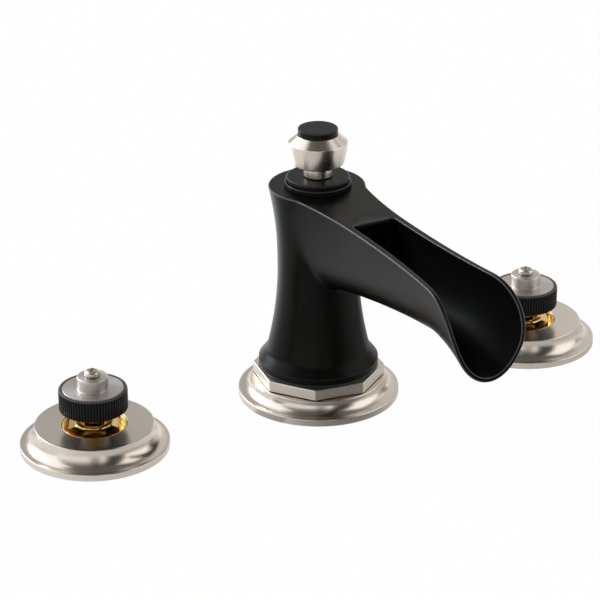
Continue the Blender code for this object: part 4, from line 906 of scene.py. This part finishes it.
def make_screw(side, x):
    """Pan head from a square grid drawn out to a disc, so that the cross slot's walls follow its lines.

    A square point (u, v) goes to (u sqrt(1 - v^2 / 2), v sqrt(1 - u^2 / 2)); the height is a dome
    less the slot's depth.
    """
    seat, radius, slot_depth, slot_turn = 31.8, 3.2, 1.15, 0.95
    half = np.array([0, 0.05, 0.09, 0.115, 0.15, 0.17, 0.24, 0.33, 0.42, 0.5, 0.56, 0.6, 0.66, 0.74, 0.82,
                     0.89, 0.945, 0.98, 1])
    line = np.concatenate([-half[:0:-1], half])
    u, v = np.meshgrid(line, line, indexing="ij")
    across, along = u * np.sqrt(1 - v ** 2 / 2), v * np.sqrt(1 - u ** 2 / 2)
    out = np.clip(np.hypot(across, along), 0, 1)
    dome = seat + 1.0 + 1.4 * (1 - out ** 2.6) ** 0.55
    arms = [np.clip((0.16 - np.abs(first)) / 0.03, 0, 1) * np.clip((0.61 - np.abs(second)) / 0.06, 0, 1)
            for first, second in ((u, v), (v, u))]
    z = dome - slot_depth * np.maximum(*arms) * (1 - 0.35 * out)
    cosine, sine = radius * math.cos(slot_turn), radius * math.sin(slot_turn)
    head = stacked(x + across * cosine - along * sine, across * sine + along * cosine, z)
    loop = np.concatenate([head[:-1, 0], head[-1, :-1], head[:0:-1, -1], head[0, :0:-1]])
    outward = (loop[:, :2] - [x, 0]) / radius
    rings = [(3.2, 0.95), (3.2, 0.15), (3.1, 0), (1.6, 0), (1.6, -8.6), (1.2, -9), (0, -9)]
    below = [stacked(*([x, 0] + outward * r).T, seat + h) for r, h in rings]
    return piece(side + "_screw_trim", [grid(head), grid(np.stack([loop, *below]), wrap=True)], sharp=35)


# Dressing

def dress(made, body, slot, finish, node):
    """Gives a new piece its finish and body, in place of its CAD node; the slot is not used."""
    made.data.materials.append(finish)
    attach(made, body)
    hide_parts(node)


def dress_kept_nodes(replaced):
    """Procedural finishes for the CAD nodes that stay, centred on the axis that each one stands on."""
    makers = {"brass": polished_brass, "steel": plain_steel, "rubber": moulded_rubber,
              "ceramic": lapped_ceramic, "brushed_nickel": brushed_nickel, "satin_black": satin_black}
    for name, node in frame["nodes"].items():
        if name in replaced:
            continue
        x = dict(SIDES).get(name.split("_")[0], 0)
        finish = makers[node.data.materials[0].name](name + "_finish", x)
        for slot in node.material_slots:
            slot.material = finish


# Small black turned parts: little edge wear and little painted edge highlight
small_coat = satin_black("satin_black_turned", edge_wear_and_highlight=0.1)
plate_depth = 0.0004
dressed = [
    (make_spout(), "deck_set", "satin_black", satin_black("satin_black_spout"), "spout_body"),
    (make_flange("spout_flange_trim", 33.2, 3.4, 8.75, 27.6, FLANGE_HOLE, 0.0, [(FLANGE_HOLE, 6.95, 0.2)]),
     "deck_set", "brushed_nickel", brushed_nickel("turned_nickel_spout", depth=plate_depth), "spout_flange"),
    (make_octagon(), "deck_set", "brushed_nickel",
     brushed_nickel("brushed_nickel_octagon", roughness=0.26, straight=True, depth=plate_depth),
     "octagon_ring"),
    (make_collar(), "deck_set", "satin_black", small_coat, "spout_collar"),
    (make_knob(), "lift_group", "brushed_nickel",
     brushed_nickel("turned_nickel_knob", roughness=0.24, along=0.75), "lift_knob"),
    (make_cap(), "lift_group", "satin_black", small_coat, "lift_knob_cap"),
]
for side, x in SIDES:
    stem = side + "_stem_group"
    dressed += [
        (valve_flange(side, x), "deck_set", "brushed_nickel",
         brushed_nickel(side + "_turned_nickel", x, depth=plate_depth), side + "_flange"),
        (make_bonnet(side, x), "deck_set", "brass", polished_brass(side + "_bonnet_brass", x),
         side + "_bonnet_nut"),
        # The ring's rounded top, above 25.6 mm, gets a painted sheen; its edges get little wear and painted
        # highlight
        (make_fluted_ring(side, x), stem, "satin_black",
         satin_black(side + "_satin_black", x, 0.38, 0.06, 25.6), side + "_fluted_ring"),
        (make_hub(side, x), stem, "brushed_nickel",
         brushed_nickel(side + "_hub_nickel", x, (0.60, 0.565, 0.545), 0.42), side + "_hub"),
        (make_screw(side, x), stem, "steel",
         plain_steel(side + "_screw_steel", x, (0.66, 0.60, 0.50), 0.34), side + "_hub_screw"),
    ]
for parts in dressed:
    dress(*parts)
dress_kept_nodes({parts[-1] for parts in dressed})


# Floor, lights and camera

def band(value, low, high, soft):
    """1 between low and high, easing to 0 over a soft width outside each."""
    return value.rise(low - soft, low) * (1 - value.rise(high, high + soft))


def directions(x, y):
    """Turn in degrees round from the camera's side, to its right, and the part of (x, y) to the right."""
    front = x * math.sin(CAMERA_TURN) - y * math.cos(CAMERA_TURN)
    right = x * math.cos(CAMERA_TURN) + y * math.sin(CAMERA_TURN)
    return right.math("ARCTAN2", right, front) * (180 / math.pi), right


def make_floor():
    """Pale floor under the flanges. Camera, mirror and clear rays meet nearly white; the rest stays lit."""
    half = 6.0
    corners = [(-half, -half, 0), (half, -half, 0), (half, half, 0), (-half, half, 0)]
    mesh = bpy.data.meshes.new("floor")
    mesh.from_pydata(corners, [], [(0, 1, 2, 3)])
    floor = placed("floor", mesh)
    material = bpy.data.materials.new("pale_floor")
    material.use_nodes = True
    nodes = Nodes(material.node_tree)
    nodes.tree.nodes.clear()
    nodes.place = nodes.add("ShaderNodeTexCoord", {}, 3)
    tone = nodes.mixed(nodes.noise(3.0, 2), (0.80, 0.80, 0.80, 1), (0.84, 0.84, 0.84, 1))
    lit = nodes.add("ShaderNodeBsdfDiffuse", {"Color": tone})
    camera = nodes.add("ShaderNodeLightPath", {})
    glossy, clear = camera.also("Is Glossy Ray"), camera.also("Is Transmission Ray")
    share = (camera * 0.985 + glossy * 0.85 + clear * 0.985).within()
    # In mirrors alone the floor is brighter and bluer behind on the left: a painted glow. In mirrors alone it
    # is also painted darker, as painted shade, on a patch right of the camera, in front, under the arm as a
    # painted shadow, near the spout's right and at the spout's left
    x, y, _ = nodes.split(nodes.place)
    out = (x * x + y * y) ** 0.5
    turn, right = directions(x, y)
    glow = glossy * (1 - band(turn, -112, 165, 14)) * out.rise(0.06, 0.16)
    white = nodes.add("ShaderNodeEmission", {
        "Color": nodes.mixed(glow, (1, 1, 1, 1), (0.93, 0.96, 1, 1)), "Strength": 1 + 0.9 * glow})
    both = nodes.add("ShaderNodeMixShader", {0: share, 1: lit, 2: white})
    # Patches of painted shade, seen only in mirrors; the one under the arm is a painted shadow
    camera_right_shade = band(turn, 22, 60, 8) * out.rise(0.10, 0.16)
    front = band(turn, -45, 22, 12) * out.rise(0.06, 0.1)
    under = 1 - (((x + 0.015) / 0.06) ** 2 + ((y + 0.085) / 0.075) ** 2).rise(0.3, 1.2)
    grey = right.rise(-0.01, 0.05) * (1 - out.rise(0.16, 0.22))
    spout_left_shade = band(turn, -52, -30, 6) * (1 - out.rise(0.042, 0.06))
    unshaded_share = (1 - 0.85 * camera_right_shade) * (1 - 0.25 * front) * (1 - 0.8 * under)
    unshaded_share = unshaded_share * (1 - 0.35 * grey) * (1 - 0.5 * spout_left_shade)
    # Near-black emission: the painted shade that mirrors meet on these patches
    dark = nodes.add("ShaderNodeEmission", {"Color": (0.05, 0.045, 0.04, 1)})
    seen = nodes.add("ShaderNodeMixShader", {0: glossy * (1 - unshaded_share), 1: both, 2: dark})
    nodes.add("ShaderNodeOutputMaterial", {"Surface": seen})
    mesh.materials.append(material)


def make_sky():
    """Studio surroundings by direction: grey walls paler towards the level, two dark gaps in front and
    a soft box with a hot middle at each side.

    Turn is the angle round from the camera's side, to its right; lift is the angle above the level.
    """
    world = bpy.data.worlds.new("studio")
    bpy.context.scene.world = world
    world.use_nodes = True
    sky = Nodes(world.node_tree)
    sky.tree.nodes.clear()
    x, y, z = sky.split(sky.add("ShaderNodeTexCoord", {}, 0))
    turn, right = directions(x, y)
    lift = z.math("ARCSINE", z) * (180 / math.pi)
    behind = (1 - band(turn, -110, 110, 40)) * (1 - lift.rise(34, 62))
    wall = (0.24 + 0.26 * right.rise(-0.12, 0.12)) * behind
    ahead = band(turn, -62, 22, 14) * (1 - lift.rise(18, 48)) * 0.75
    level = 0.24 - 0.12 * lift.rise(45, 70) + wall + ahead + 0.3 * (1 - lift.rise(0, 16))
    near_gap = 0.6 * band(turn, -2, 10, 5) * band(lift, -5, 70, 10)
    gap = near_gap + 0.8 * band(turn, 27, 50, 7) * band(lift, -20, 58, 10)
    left_box = band(turn, -142, -70, 8) * band(lift, 12, 60, 8)
    left_core = band(turn, -133, -112, 6) * band(lift, 18, 37, 6)
    right_box = band(turn, 64, 108, 8) * band(lift, 8, 54, 8)
    right_core = band(turn, 116, 132, 5) * band(lift, 20, 36, 5)
    lamps = 1.5 * left_box + 7.0 * left_core + 1.4 * right_box + 0.5 * right_core
    strength = level * (1 - gap) * (1 - left_box) * (1 - right_box) + lamps
    tint = sky.mixed(left_box, (1.0, 0.985, 0.96, 1), (0.95, 0.97, 1.0, 1))
    camera = sky.add("ShaderNodeLightPath", {})
    background = sky.add("ShaderNodeBackground", {
        "Color": sky.mixed(camera, tint, (1, 1, 1, 1)), "Strength": strength * (1 - camera) + camera})
    sky.add("ShaderNodeOutputWorld", {"Surface": background})


def make_camera():
    """Camera fitted to the photograph's flanges and rims, looking down by its lift."""
    lift, roll = math.radians(24.5), math.radians(-0.3)
    aim_right, aim_up, distance = -7.6544, 37.856, 1.040
    back = Vector((math.sin(CAMERA_TURN) * math.cos(lift), -math.cos(CAMERA_TURN) * math.cos(lift),
                   math.sin(lift)))
    right = (-back).cross(Vector((0, 0, 1))).normalized()
    up = right.cross(-back)
    right, up = (right * math.cos(roll) + up * math.sin(roll), up * math.cos(roll) - right * math.sin(roll))
    lens = bpy.data.cameras.new("camera")
    lens.lens, lens.sensor_width, lens.clip_end = 150, 36, 20
    camera = placed("camera", lens)
    place = right * aim_right * MM + up * aim_up * MM + back * distance
    camera.matrix_world = Matrix.Translation(place) @ Matrix((right, up, back)).transposed().to_4x4()
    bpy.context.scene.camera = camera


make_floor()
make_sky()
make_camera()
bpy.context.scene.view_settings.view_transform = "Standard"
